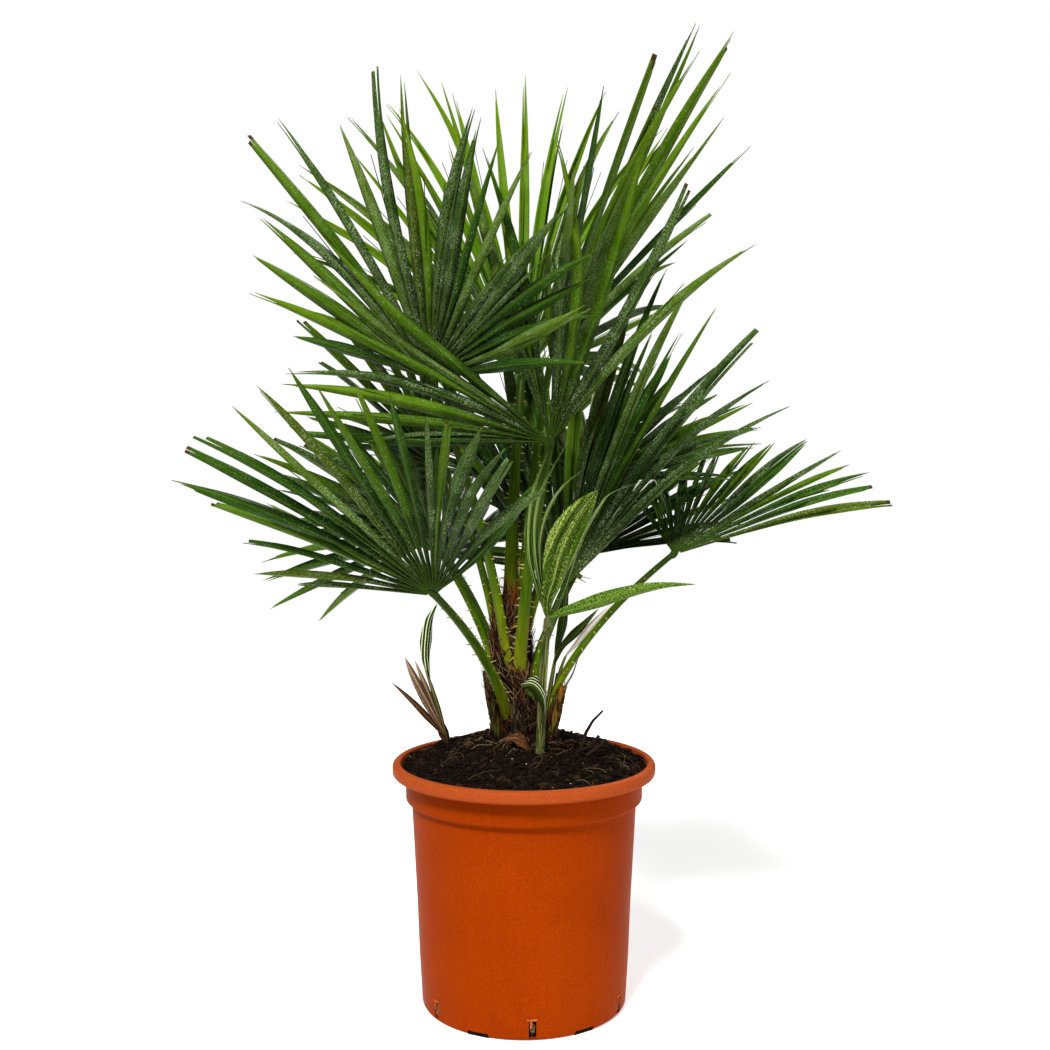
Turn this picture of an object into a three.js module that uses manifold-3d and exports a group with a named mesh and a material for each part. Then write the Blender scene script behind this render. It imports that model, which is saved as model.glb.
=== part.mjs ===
// A potted European fan palm: fans of stiff leaflets on long stalks, a short fibrous trunk,
// a young striped shoot and a dry sucker, in a terracotta-coloured plastic nursery pot.
// Millimetres, +Z up. The origin is the middle of the pot's flat underside, and the front
// of the plant faces -Y. Bearings are degrees seen from above: 0 is +X and 90 is +Y.
import * as THREE from 'three';
import { mergeVertices } from 'three/addons/utils/BufferGeometryUtils.js';
import Module from 'manifold-3d';

const wasm = await Module();
wasm.setup();

// Driving dimensions
const GAP = 0.3; // between neighbouring pieces
const POT_HEIGHT = 221;
const RIM_RADIUS = 119;
const RIM_DEPTH = 11; // the rolled lip, from its top down
const COLLAR_RADIUS = 107;
const COLLAR_BOTTOM = 185;
const BODY_RADIUS = 101.5; // just under the collar
const BASE_RADIUS = 92.8;
const WALL = 2.3;
const FLOOR = 5;
const DRAIN_SLOTS = 6;
const DRAIN_SLOT = { width: 4.5, height: 15, bottom: 2.5, turn: 4.5 };
const FOOT_NOTCH = { width: 20, height: 4.2, depth: 5, turn: -25.5 };

const SOIL_EDGE = 214;
const SOIL_TOP = 240;
const SOIL_FLAT_RADIUS = 38;

const TRUNK_TOP = 366;
const TRUNK_LEAN = -12; // sideways shift of the upper trunk
const TRUNK_LEAN_HEIGHT = 90;

const FOOT_RADIUS = 6; // the knuckle where a stalk carries its fan
const CLEARANCE = 0.9; // kept free round every leaflet
const LIFT_STEPS = [0, 4, -4, 8, -8, 12, -12, 16, -16]; // degrees tried to pass a neighbour
const LENGTH_STEPS = [1, 0.8, 0.62];
const ROOT_SHARE = 0.42; // leaflets are joined up to this share of their length at most
const BELLY_SHARE = 0.6; // a leaflet keeps its full width up to here
const NECK_SHARE = 0.83;
const NECK_WIDTH = 0.6;

const COLOURS = {
  terracotta: 0xb0501e,
  soil: 0x1e1612,
  bark: 0x33241a,
  stalk: 0x5d8a22,
  darkLeaf: 0x3a5c2c,
  leaf: 0x3f6e22,
  brightLeaf: 0x6b9a22,
  youngLeaf: 0x9db27a,
  dryLeaf: 0xa98a66,
};

// One entry for each fan. seat is where its stalk leaves the trunk (bearing, height), hub is
// the knuckle at the stalk's tip, and bearing, rise and roll aim the blade. Leaflets run from
// the angle from to the angle to, seen on the blade, and the one at peak is the longest.
const FANS = [
  { name: 'upper_left', seat: [252, 300], hub: [-80, -60, 562], bearing: 239, rise: 84, roll: -2,
    from: -75, to: 87, leaflets: 22, reach: 293, ends: [0.54, 0.55], peak: -35, droop: 0.06,
    width: 11, seed: 244, colour: 'darkLeaf' },
  { name: 'top_centre', seat: [100, 352], hub: [-2, 60, 570], bearing: 106, rise: 79, roll: -2,
    from: -41, to: 56, leaflets: 19, reach: 341, ends: [0.94, 0.77], peak: 12, droop: 0.03,
    width: 12, seed: 900, colour: 'brightLeaf' },
  { name: 'top_right', seat: [10, 338], hub: [24, 20, 581], bearing: 7, rise: 60, roll: -22,
    from: -94, to: 84, leaflets: 20, reach: 366, ends: [0.78, 0.77], peak: 5, droop: 0.05,
    width: 12, seed: 979, colour: 'leaf' },
  { name: 'front_left', seat: [236, 262], hub: [-73, -120, 384], bearing: 178, rise: 32, roll: 51,
    from: -38, to: 107, leaflets: 19, reach: 258, ends: [0.51, 0.7], peak: 6, droop: 0.08,
    width: 10.5, seed: 390, colour: 'leaf' },
  { name: 'right', seat: [322, 284], hub: [36, -20, 380], bearing: 27, rise: 66, roll: 29,
    from: -29, to: 102, leaflets: 20, reach: 433, ends: [0.59, 0.96], peak: 25, droop: 0.12,
    width: 13, seed: 979, colour: 'leaf' },
  { name: 'lower_right', seat: [352, 262], hub: [134, -10, 409], bearing: 53, rise: 41, roll: 7,
    from: -57, to: 49, leaflets: 18, reach: 206, ends: [0.96, 0.47], peak: -51, droop: 0.02,
    width: 9, seed: 242, colour: 'leaf' },
  { name: 'front_centre', seat: [284, 296], hub: [22, -90, 508], bearing: 277, rise: 80, roll: -9,
    from: -94, to: 39, leaflets: 17, reach: 290, ends: [0.75, 0.91], peak: 15, droop: 0.05,
    width: 11.5, seed: 244, colour: 'darkLeaf' },
  { name: 'left', seat: [165, 315], hub: [-71, 10, 483], bearing: 151, rise: 41, roll: 55,
    from: -81, to: 90, leaflets: 17, reach: 218, ends: [0.68, 0.77], peak: 1, droop: 0.05,
    width: 11, seed: 244, colour: 'darkLeaf' },
  { name: 'back_right', seat: [42, 318], hub: [62, 60, 470], bearing: 64, rise: 43, roll: 3,
    from: -80, to: 62, leaflets: 17, reach: 214, ends: [0.7, 0.51], peak: -1, droop: 0.05,
    width: 11, seed: 138, colour: 'darkLeaf' },
  { name: 'back', seat: [95, 300], hub: [-10, 120, 470], bearing: 82, rise: 41, roll: 3,
    from: -96, to: 83, leaflets: 18, reach: 271, ends: [0.62, 0.59], peak: -10, droop: 0.08,
    width: 12, seed: 12, colour: 'leaf' },
  { name: 'back_left', seat: [140, 284], hub: [-75, 80, 400], bearing: 135, rise: 46, roll: 7,
    from: -97, to: 72, leaflets: 17, reach: 253, ends: [0.91, 0.61], peak: 9, droop: 0.08,
    width: 12, seed: 13, colour: 'leaf' },
  { name: 'low_back_right', seat: [64, 276], hub: [60, 95, 400], bearing: 64, rise: 41, roll: -1,
    from: -77, to: 78, leaflets: 18, reach: 255, ends: [0.58, 0.63], peak: 20, droop: 0.08,
    width: 12, seed: 596, colour: 'leaf' },
  { name: 'low_left', seat: [196, 286], hub: [-85, 20, 420], bearing: 193, rise: 29, roll: 43,
    from: -75, to: 69, leaflets: 16, reach: 188, ends: [0.99, 0.73], peak: -3, droop: 0.08,
    width: 11, seed: 244, colour: 'darkLeaf' },
];
// The young striped shoot stands in the soil beside the trunk, with one separate side leaflet
const YOUNG = { name: 'young', foot: [14, -46, 234], hub: [19, -130, 365], bearing: 300, rise: 75,
  roll: 0, from: -12, to: 26, leaflets: 5, reach: 142, ends: [1, 0.72], peak: -8, droop: 0.03,
  width: 16, seed: 1, colour: 'youngLeaf', stalk: { foot: 8, tip: 6 } };
const SIDE_LEAFLET = [[19, -130, 365], [42, -132, 379], [71, -134, 390], [102, -136, 395], [136, -138, 394]];

const STALK = { foot: 13, tip: 8 };
const STALK_FLATNESS = 0.62;

// Cut-off feet of older stalks round the trunk: bearing, height of the foot, height of the cut
const STUBS = [[208, 246, 304], [338, 246, 290], [262, 244, 282], [118, 246, 300], [28, 246, 296]];
const STUB = { foot: 17, tip: 10, reach: 13, flatness: 0.5 };

// A dry sucker: its stem and the tips of its leaflets
const SUCKER = {
  stem: [[-66, 15, 222], [-69, 14, 238], [-74, 12, 251]],
  dryTips: [[-119, 2, 290], [-107, -4, 314], [-99, 8, 309]],
  greenLeaflet: [[-74, 12, 251], [-80, 10, 273], [-91, 6, 305], [-94, 0, 330], [-78, -8, 362]],
};
const CURLED_LEAF = [[9, -64, 230], [17, -74, 262], [18, -80, 286], [10, -82, 300], [-4, -82, 299]];

const palm = new THREE.Group();
let taken = null; // everything placed so far, which later leaflets keep clear of

const radians = THREE.MathUtils.degToRad;

function polar(bearing, radius, height) {
  return new THREE.Vector3(
    radius * Math.cos(radians(bearing)), radius * Math.sin(radians(bearing)), height);
}

// A repeatable row of numbers from 0 to 1
function seededRandom(seed) {
  let state = seed;
  return () => {
    state = (Math.imul(state, 1664525) + 1013904223) >>> 0;
    return state / 4294967296;
  };
}

function solidOf(geometry) {
  const bare = geometry.clone();
  bare.deleteAttribute('normal');
  bare.deleteAttribute('uv');
  const merged = mergeVertices(bare, 1e-3);
  return new wasm.Manifold(new wasm.Mesh({
    numProp: 3,
    vertProperties: new Float32Array(merged.attributes.position.array),
    triVerts: new Uint32Array(merged.index.array),
  }));
}

function geometryOf(solid) {
  const mesh = solid.getMesh();
  const geometry = new THREE.BufferGeometry();
  geometry.setAttribute('position', new THREE.BufferAttribute(mesh.vertProperties, 3));
  geometry.setIndex(new THREE.BufferAttribute(mesh.triVerts, 1));
  geometry.computeVertexNormals();
  return geometry;
}

function largestPiece(solid) {
  return solid.decompose().sort((a, b) => b.volume() - a.volume())[0];
}

function place(name, solid, colour, roughness) {
  const material = new THREE.MeshStandardMaterial(
    { color: COLOURS[colour], roughness, metalness: 0 });
  const mesh = new THREE.Mesh(geometryOf(solid), material);
  mesh.name = name;
  palm.add(mesh);
  taken = taken ? taken.add(solid) : solid;
}

// A body of revolution about Z from [radius, height] points
function turned(points, segments) {
  const profile = points.map(([radius, height]) => new THREE.Vector2(radius, height));
  const geometry = new THREE.LatheGeometry(profile, segments);
  geometry.rotateX(Math.PI / 2);
  return geometry;
}

// A straight prism of the section, bent along the curve and scaled from foot to tip. The
// section's x runs sideways and its y to the upper side.
function swept(curve, side, foot, tip, flatness, steps) {
  const section = new THREE.Shape();
  section.absellipse(0, 0, 0.5, 0.5 * flatness, 0, 2 * Math.PI);
  const geometry = new THREE.ExtrudeGeometry(
    section, { depth: 1, steps, curveSegments: 4, bevelEnabled: false });
  const position = geometry.attributes.position;
  const point = new THREE.Vector3();
  for (let i = 0; i < position.count; i += 1) {
    point.fromBufferAttribute(position, i);
    const share = point.z;
    const size = foot + (tip - foot) * share;
    const up = new THREE.Vector3().crossVectors(curve.getTangent(share), side).normalize();
    const across = new THREE.Vector3().crossVectors(up, curve.getTangent(share)).normalize();
    const placed = curve.getPoint(share)
      .addScaledVector(across, -point.x * size)
      .addScaledVector(up, -point.y * size);
    position.setXYZ(i, placed.x, placed.y, placed.z);
  }
  return geometry;
}

// The pot's inner wall, from the floor's corner up to the lip
const INNER_WALL = [
  [BASE_RADIUS - WALL, FLOOR],
  [BODY_RADIUS - WALL, COLLAR_BOTTOM - 1],
  [COLLAR_RADIUS - WALL, COLLAR_BOTTOM + 5],
  [COLLAR_RADIUS - WALL, POT_HEIGHT - RIM_DEPTH - 2],
  [RIM_RADIUS - 9.5, POT_HEIGHT - RIM_DEPTH + 5],
  [RIM_RADIUS - 7, POT_HEIGHT - 2],
];

function potSolid() {
  const lipBottom = POT_HEIGHT - RIM_DEPTH;
  const outside = [
    [0, 0], [BASE_RADIUS - 2, 0], [BASE_RADIUS, 2],
    [BODY_RADIUS, COLLAR_BOTTOM - 2], [COLLAR_RADIUS - 1.5, COLLAR_BOTTOM],
    [COLLAR_RADIUS, COLLAR_BOTTOM + 2], [COLLAR_RADIUS, lipBottom - 1.5],
    [RIM_RADIUS - 3, lipBottom], [RIM_RADIUS - 0.4, lipBottom + 3],
    [RIM_RADIUS, lipBottom + 6], [RIM_RADIUS - 1.6, POT_HEIGHT - 1.2],
    [RIM_RADIUS - 4.5, POT_HEIGHT],
  ];
  const shell = turned([...outside, ...[...INNER_WALL].reverse(), [0, FLOOR]], 48);
  let pot = solidOf(shell);
  for (let i = 0; i < DRAIN_SLOTS; i += 1) {
    const slot = new THREE.BoxGeometry(12, DRAIN_SLOT.width, DRAIN_SLOT.height);
    slot.translate(BASE_RADIUS - 2, 0, DRAIN_SLOT.bottom + DRAIN_SLOT.height / 2);
    slot.rotateZ(radians(-90 + DRAIN_SLOT.turn + (i * 360) / DRAIN_SLOTS));
    pot = pot.subtract(solidOf(slot));
    const notch = new THREE.BoxGeometry(
      2 * FOOT_NOTCH.depth, FOOT_NOTCH.width, 2 * FOOT_NOTCH.height);
    notch.translate(BASE_RADIUS, 0, 0);
    notch.rotateZ(radians(-90 + FOOT_NOTCH.turn + (i * 360) / DRAIN_SLOTS));
    pot = pot.subtract(solidOf(notch));
  }
  return pot;
}

// The mound rises from the wall to a small level place under the trunk
function soilProfile(raise) {
  const wall = INNER_WALL.slice(0, 4).map(([radius, height]) => [radius - GAP - 0.1, height + GAP]);
  const edge = RIM_RADIUS - 10.4;
  return [
    [0, FLOOR + GAP], ...wall, [edge, SOIL_EDGE + raise],
    [edge - 14, SOIL_EDGE + 7 + raise], [(edge + SOIL_FLAT_RADIUS) / 2, SOIL_TOP - 9 + raise],
    [SOIL_FLAT_RADIUS + 14, SOIL_TOP - 3 + raise], [SOIL_FLAT_RADIUS, SOIL_TOP + raise],
    [0, SOIL_TOP + raise],
  ];
}

function leanAt(height) {
  const share = THREE.MathUtils.smoothstep(height, SOIL_TOP, SOIL_TOP + TRUNK_LEAN_HEIGHT);
  return TRUNK_LEAN * share;
}

const TRUNK_RADII = [[32, 0], [30.5, 6], [27.5, 15], [25, 30], [21.5, 50], [18.5, 75], [16, 105]];

function trunkRadius(height) {
  const above = height - SOIL_TOP;
  for (let i = 1; i < TRUNK_RADII.length; i += 1) {
    const [low, from] = TRUNK_RADII[i - 1];
    const [high, to] = TRUNK_RADII[i];
    if (above <= to) return low + ((high - low) * Math.max(above - from, 0)) / (to - from);
  }
  return TRUNK_RADII.at(-1)[0];
}

// The trunk stands on the soil's level place, flared at the foot and rounded at the tip
function trunkSolid(grow) {
  const foot = SOIL_TOP + GAP - grow;
  const sides = TRUNK_RADII.map(([radius, above]) => [radius + grow, SOIL_TOP + GAP + above]);
  sides[0][1] = foot;
  const geometry = turned([
    [0, foot], ...sides, [13 + grow, TRUNK_TOP - 5], [8 + grow, TRUNK_TOP + grow],
    [0, TRUNK_TOP + grow]], 14);
  const position = geometry.attributes.position;
  for (let i = 0; i < position.count; i += 1) {
    position.setX(i, position.getX(i) + leanAt(position.getZ(i)));
  }
  return solidOf(geometry);
}

const soil = solidOf(turned(soilProfile(0), 48));
const soilRoom = solidOf(turned(soilProfile(GAP), 48));
const trunkRoom = trunkSolid(GAP);

// A stalk rises from inside the trunk, leans out and ends at its knuckle. What lies in the
// trunk is cut away, so its foot fits the bark.
function stalkCurve(fan) {
  let start;
  if (fan.seat) {
    const [bearing, height] = fan.seat;
    start = polar(bearing, trunkRadius(height) - 8, height - 8);
    start.x += leanAt(height);
  } else {
    start = new THREE.Vector3(...fan.foot);
  }
  const hub = new THREE.Vector3(...fan.hub);
  const bend = start.clone().lerp(hub, 0.2);
  bend.z = start.z + 0.5 * (hub.z - start.z);
  return new THREE.QuadraticBezierCurve3(start, bend, hub);
}

function sidewaysOf(curve) {
  const run = curve.getPoint(1).sub(curve.getPoint(0));
  return new THREE.Vector3(-run.y, run.x, 0).normalize();
}

function knuckleRoom(hub, radius) {
  const ball = new THREE.SphereGeometry(radius, 8, 6);
  ball.translate(...hub);
  return solidOf(ball);
}

function stalkRod(fan, grow) {
  const curve = stalkCurve(fan);
  const { foot, tip } = fan.stalk || STALK;
  return solidOf(swept(
    curve, sidewaysOf(curve), foot + grow, tip + grow, STALK_FLATNESS, 7));
}

function stalkSolid(fan) {
  const room = trunkRoom.add(soilRoom).add(knuckleRoom(fan.hub, FOOT_RADIUS + GAP));
  return largestPiece(stalkRod(fan, 0).subtract(room));
}

function stubSolid([bearing, low, high]) {
  const start = polar(bearing, trunkRadius(low) - 6, low - 4);
  const end = polar(bearing, trunkRadius(low) + STUB.reach - 6, high);
  start.x += leanAt(low);
  end.x += leanAt(low);
  const middle = start.clone().lerp(end, 0.5);
  middle.add(polar(bearing, 3, 0));
  const curve = new THREE.QuadraticBezierCurve3(start, middle, end);
  const stub = solidOf(swept(
    curve, sidewaysOf(curve), STUB.foot, STUB.tip, STUB.flatness, 3));
  return largestPiece(stub.subtract(trunkRoom.add(soilRoom)));
}

// A single narrow leaflet along its points, with its face turned from level by some degrees
function stripSolid(points, foot, tip, flatness, steps, turn = 0) {
  const curve = new THREE.CatmullRomCurve3(points.map((point) => new THREE.Vector3(...point)));
  const run = curve.getPoint(1).sub(curve.getPoint(0)).normalize();
  const side = sidewaysOf(curve).applyAxisAngle(run, radians(turn));
  return solidOf(swept(curve, side, foot, tip, flatness, steps));
}

function suckerSolid() {
  const knuckle = SUCKER.stem.at(-1);
  let sucker = stripSolid(SUCKER.stem, 8, 6, 0.8, 3).subtract(soilRoom);
  sucker = sucker.add(knuckleRoom(knuckle, 4.5));
  for (const tip of SUCKER.dryTips) {
    const middle = knuckle.map((value, i) => 0.5 * (value + tip[i]) + (i === 2 ? 3 : 0));
    sucker = sucker.add(stripSolid([knuckle, middle, tip], 7, 3, 0.35, 3));
  }
  sucker = sucker.add(stripSolid(SUCKER.greenLeaflet, 5, 9, 0.25, 6, 60));
  return largestPiece(sucker);
}

// The blade's own axes: along the middle leaflet, across the blade, and its upper side
function bladeAxes(fan) {
  const bearing = radians(fan.bearing);
  const rise = radians(fan.rise);
  const roll = radians(fan.roll);
  const along = new THREE.Vector3(
    Math.cos(rise) * Math.cos(bearing), Math.cos(rise) * Math.sin(bearing), Math.sin(rise));
  const level = new THREE.Vector3(-Math.sin(bearing), Math.cos(bearing), 0);
  const upper = new THREE.Vector3().crossVectors(along, level);
  const across = level.clone().multiplyScalar(Math.cos(roll)).addScaledVector(upper, Math.sin(roll));
  const normal = upper.multiplyScalar(Math.cos(roll)).addScaledVector(level, -Math.sin(roll));
  return { along, across, normal };
}

// Angle, length and lift of every leaflet by the seeded rule
function leafletsOf(fan) {
  const random = seededRandom(fan.seed);
  const step = (fan.to - fan.from) / fan.leaflets;
  const leaflets = [];
  for (let i = 0; i < fan.leaflets; i += 1) {
    const angle = fan.from + step * (i + 0.5 + (random() - 0.5) * 0.5);
    const toEnd = angle > fan.peak ? (angle - fan.peak) / (fan.to - fan.peak)
      : (fan.peak - angle) / (fan.peak - fan.from);
    const end = angle > fan.peak ? fan.ends[1] : fan.ends[0];
    const length = fan.reach * (1 - (1 - end) * toEnd ** 1.5) * (1 - random() * 0.12);
    const lift = (random() - 0.5) * 10;
    leaflets.push({ angle, length, lift });
  }
  leaflets.forEach((leaflet, i) => {
    const before = i > 0 ? leaflets[i - 1].angle : 2 * fan.from - leaflet.angle;
    const after = i < leaflets.length - 1 ? leaflets[i + 1].angle : 2 * fan.to - leaflet.angle;
    leaflet.low = (before + leaflet.angle) / 2;
    leaflet.high = (after + leaflet.angle) / 2;
  });
  return leaflets;
}

function rootRadius(fan, leaflet) {
  const step = radians((fan.to - fan.from) / fan.leaflets);
  return Math.min(fan.width / (2 * Math.tan(step / 2)), ROOT_SHARE * leaflet.length);
}

function onBlade(angle, radius, offset) {
  const turn = radians(angle);
  return new THREE.Vector2(
    radius * Math.cos(turn) - offset * Math.sin(turn),
    radius * Math.sin(turn) + offset * Math.cos(turn));
}

// One leaflet's edge, from the low side over the tip to the high side
function leafletEdge(fan, leaflet, margin) {
  const { angle, length } = leaflet;
  const half = (share, bound) => Math.min(
    fan.width / 2, share * length * Math.tan(radians(Math.abs(bound - angle))) - GAP);
  const points = [];
  points.push(onBlade(angle, BELLY_SHARE * length, -half(BELLY_SHARE, leaflet.low) - margin));
  points.push(onBlade(angle, NECK_SHARE * length,
    -NECK_WIDTH * half(BELLY_SHARE, leaflet.low) - margin));
  points.push(onBlade(angle, length + margin, 0));
  points.push(onBlade(angle, NECK_SHARE * length,
    NECK_WIDTH * half(BELLY_SHARE, leaflet.high) + margin));
  points.push(onBlade(angle, BELLY_SHARE * length, half(BELLY_SHARE, leaflet.high) + margin));
  return points;
}

// Puts a flat blade in its place: leaflets lift out of the blade's plane beyond their root,
// and everything sags with the square of its distance from the knuckle
function bendBlade(fan, leaflets, geometry) {
  const { along, across, normal } = bladeAxes(fan);
  const position = geometry.attributes.position;
  for (let i = 0; i < position.count; i += 1) {
    const x = position.getX(i);
    const y = position.getY(i);
    const radius = Math.hypot(x, y);
    const angle = THREE.MathUtils.radToDeg(Math.atan2(y, x));
    const own = leaflets.reduce((best, leaflet) => (
      Math.abs(leaflet.angle - angle) < Math.abs(best.angle - angle) ? leaflet : best));
    const beyond = Math.max(radius - rootRadius(fan, own) - 1, 0);
    const lifted = position.getZ(i) + beyond * Math.tan(radians(own.lift));
    const placed = new THREE.Vector3(...fan.hub)
      .addScaledVector(along, x).addScaledVector(across, y).addScaledVector(normal, lifted);
    placed.z -= (fan.droop * radius * radius) / fan.reach;
    position.setXYZ(i, placed.x, placed.y, placed.z);
  }
  return geometry;
}

function plateOf(fan, points, thickness) {
  const plate = new THREE.ExtrudeGeometry(
    new THREE.Shape(points), { depth: thickness, steps: 1, bevelEnabled: false });
  plate.translate(0, 0, -thickness / 2);
  return plate;
}

function bladeThickness(fan) {
  return Math.max(2.4, fan.reach / 95);
}

// The room that one leaflet needs, a little more than the leaflet itself
function leafletRoom(fan, leaflet) {
  const start = FOOT_RADIUS + 3;
  const root = rootRadius(fan, leaflet);
  const points = [
    onBlade(leaflet.angle, start, -1), onBlade(leaflet.low, root, -CLEARANCE),
    ...leafletEdge(fan, leaflet, CLEARANCE),
    onBlade(leaflet.high, root, CLEARANCE), onBlade(leaflet.angle, start, 1),
  ];
  const plate = plateOf(fan, points, bladeThickness(fan) + 2 * CLEARANCE);
  return solidOf(bendBlade(fan, [leaflet], plate));
}

// Each leaflet keeps its own lift and length where that is clear of everything placed
// before it, takes the first clear step of lift and length otherwise, or is left out
function fitLeaflets(fan) {
  const leaflets = leafletsOf(fan);
  for (const leaflet of leaflets) {
    const own = { ...leaflet };
    leaflet.kept = false;
    for (const lengthStep of LENGTH_STEPS) {
      for (const liftStep of LIFT_STEPS) {
        if (leaflet.kept) break;
        leaflet.length = own.length * lengthStep;
        leaflet.lift = own.lift + liftStep;
        leaflet.kept = leafletRoom(fan, leaflet).intersect(taken).isEmpty();
      }
    }
  }
  return leaflets;
}

function bladeSolid(fan) {
  const leaflets = fitLeaflets(fan);
  const points = [new THREE.Vector2(-FOOT_RADIUS * 0.6, 0)];
  leaflets.forEach((leaflet, i) => {
    const before = leaflets[i - 1];
    const root = rootRadius(fan, leaflet);
    if (leaflet.kept) {
      const valley = before && before.kept ? Math.min(root, rootRadius(fan, before)) : root;
      if (!before || !before.kept) points.push(onBlade(leaflet.low, FOOT_RADIUS + 4, 0));
      points.push(onBlade(leaflet.low, valley, 0));
      points.push(...leafletEdge(fan, leaflet, 0));
      const after = leaflets[i + 1];
      if (!after || !after.kept) {
        points.push(onBlade(leaflet.high, root, 0));
        points.push(onBlade(leaflet.high, FOOT_RADIUS + 4, 0));
      }
    }
  });
  const plate = plateOf(fan, points, bladeThickness(fan));
  const blade = solidOf(bendBlade(fan, leaflets, plate)).subtract(stalkRod(fan, 3 * GAP));
  return largestPiece(blade.add(knuckleRoom(fan.hub, FOOT_RADIUS)));
}

// Pot and soil
place('pot', potSolid(), 'terracotta', 0.5);
place('soil', soil, 'soil', 0.95);

// Trunk with its cut-off old stalks
place('trunk', trunkSolid(0), 'bark', 0.9);
STUBS.forEach((stub, i) => place(`stub_${i + 1}`, stubSolid(stub), 'bark', 0.9));

// Low growth beside the trunk
place('sucker', suckerSolid(), 'dryLeaf', 0.7);
place('curled_leaf', largestPiece(stripSolid(CURLED_LEAF, 8, 5, 0.4, 7).subtract(soilRoom)),
  'youngLeaf', 0.6);

// Stalks first, so that every fan keeps clear of them, then the fans
for (const fan of [...FANS, YOUNG]) {
  place(`stalk_${fan.name}`, stalkSolid(fan), 'stalk', 0.5);
}
place('fan_young', bladeSolid(YOUNG).add(stripSolid(SIDE_LEAFLET, 9, 7, 0.25, 5, 60)),
  'youngLeaf', 0.5);
for (const fan of FANS) {
  place(`fan_${fan.name}`, bladeSolid(fan), fan.colour, 0.5);
}

export default palm;
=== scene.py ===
"""A potted fan palm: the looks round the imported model, in metres, with the front facing -Y.

The fans, stalks, trunk, soil and pot are each modelled again in finer form, in the places
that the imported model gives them.
"""

import math
import random

import bmesh
import bpy
from mathutils import Matrix, Vector, kdtree, noise


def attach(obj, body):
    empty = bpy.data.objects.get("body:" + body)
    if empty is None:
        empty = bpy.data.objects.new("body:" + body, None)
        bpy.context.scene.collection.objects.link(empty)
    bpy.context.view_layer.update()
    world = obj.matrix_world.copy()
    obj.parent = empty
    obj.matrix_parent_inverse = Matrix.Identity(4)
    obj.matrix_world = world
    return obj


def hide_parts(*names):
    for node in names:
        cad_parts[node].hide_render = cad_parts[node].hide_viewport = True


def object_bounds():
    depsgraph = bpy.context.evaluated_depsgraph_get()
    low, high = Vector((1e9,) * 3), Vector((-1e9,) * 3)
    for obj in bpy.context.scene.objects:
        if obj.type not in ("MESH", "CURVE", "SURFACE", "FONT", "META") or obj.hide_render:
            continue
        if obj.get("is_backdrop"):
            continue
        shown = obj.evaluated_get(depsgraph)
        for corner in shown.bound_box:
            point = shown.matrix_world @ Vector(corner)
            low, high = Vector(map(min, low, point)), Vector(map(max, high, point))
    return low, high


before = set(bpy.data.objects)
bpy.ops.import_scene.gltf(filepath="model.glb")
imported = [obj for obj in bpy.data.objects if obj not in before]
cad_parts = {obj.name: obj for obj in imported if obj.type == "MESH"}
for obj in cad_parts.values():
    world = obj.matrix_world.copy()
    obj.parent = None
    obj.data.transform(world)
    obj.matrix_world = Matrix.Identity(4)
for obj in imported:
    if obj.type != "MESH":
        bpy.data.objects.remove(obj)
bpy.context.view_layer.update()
MM = 0.001


# The camera stands about 1.2 m in front of the pot's axis, a little above the middle of the
# plant, and looks very slightly down.
CAMERA_PLACE = (0, -1.2, 0.5)
CAMERA_TILT = 0.055  # radians below level
SENSOR_WIDTH = 36
PHOTO_WIDTH = 1050
FOCAL_PIXELS = 1335.8


def into_scene(name, data):
    """An object of the scene that holds this data."""
    thing = bpy.data.objects.new(name, data)
    bpy.context.scene.collection.objects.link(thing)
    return thing


camera_data = bpy.data.cameras.new("camera")
camera_data.sensor_width = SENSOR_WIDTH
camera_data.lens = SENSOR_WIDTH * FOCAL_PIXELS / PHOTO_WIDTH
camera_data.shift_x = 1 / PHOTO_WIDTH
camera = into_scene("camera", camera_data)
camera.location = CAMERA_PLACE
camera.rotation_euler = (math.pi / 2 - CAMERA_TILT, 0, 0)
bpy.context.scene.camera = camera


# A white studio: a pale floor, a white surround that lights only softly, a strong light over the
# left shoulder, a weaker one at the right and a third behind that edges the leaves.
FLOOR_REACH = 1.6
SURROUND_LIGHT = 0.24
LIGHTS = {  # direction towards the light, strength, softness in degrees
    "key": ((-0.35, -0.8, 1.05), 4.2, 14),
    "fill": ((0.8, -0.6, 0.35), 0.9, 50),
    "rim": ((0.3, 0.8, 0.8), 1.5, 30),
}


def feed(sockets, values):
    """Sets each named socket to a number or colour, or links it to another node's output."""
    for name, value in values.items():
        socket = sockets[name]
        if isinstance(value, bpy.types.NodeSocket):
            socket.id_data.links.new(value, socket)
        else:
            socket.default_value = (*value, 1) if socket.type == "RGBA" else value


def add_node(tree, kind, values, output=0, **settings):
    """Adds a shader node with these inputs and settings, and returns one of its outputs."""
    node = tree.nodes.new("ShaderNode" + kind)
    for name, value in settings.items():
        setattr(node, name, value)
    feed(node.inputs, values)
    return node.outputs[output]


def new_material(name, base, roughness, specular=0.5, tint=(1, 1, 1), ior=1.3):
    """A material; returns it with its node tree and its shader's sockets."""
    material = bpy.data.materials.new(name)
    material.use_nodes = True
    sockets = material.node_tree.nodes["Principled BSDF"].inputs
    feed(sockets, {"Base Color": base, "Roughness": roughness, "Specular IOR Level": specular,
                   "Specular Tint": tint, "IOR": ior})
    return material, material.node_tree, sockets


def finish_piece(name, bm, materials):
    """Turns the bmesh into a smooth object of the scene that carries these materials."""
    mesh = bpy.data.meshes.new(name)
    for face in bm.faces:
        face.smooth = True
    bm.to_mesh(mesh)
    bm.free()
    for material in materials:
        mesh.materials.append(material)
    return into_scene(name, mesh)


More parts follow.
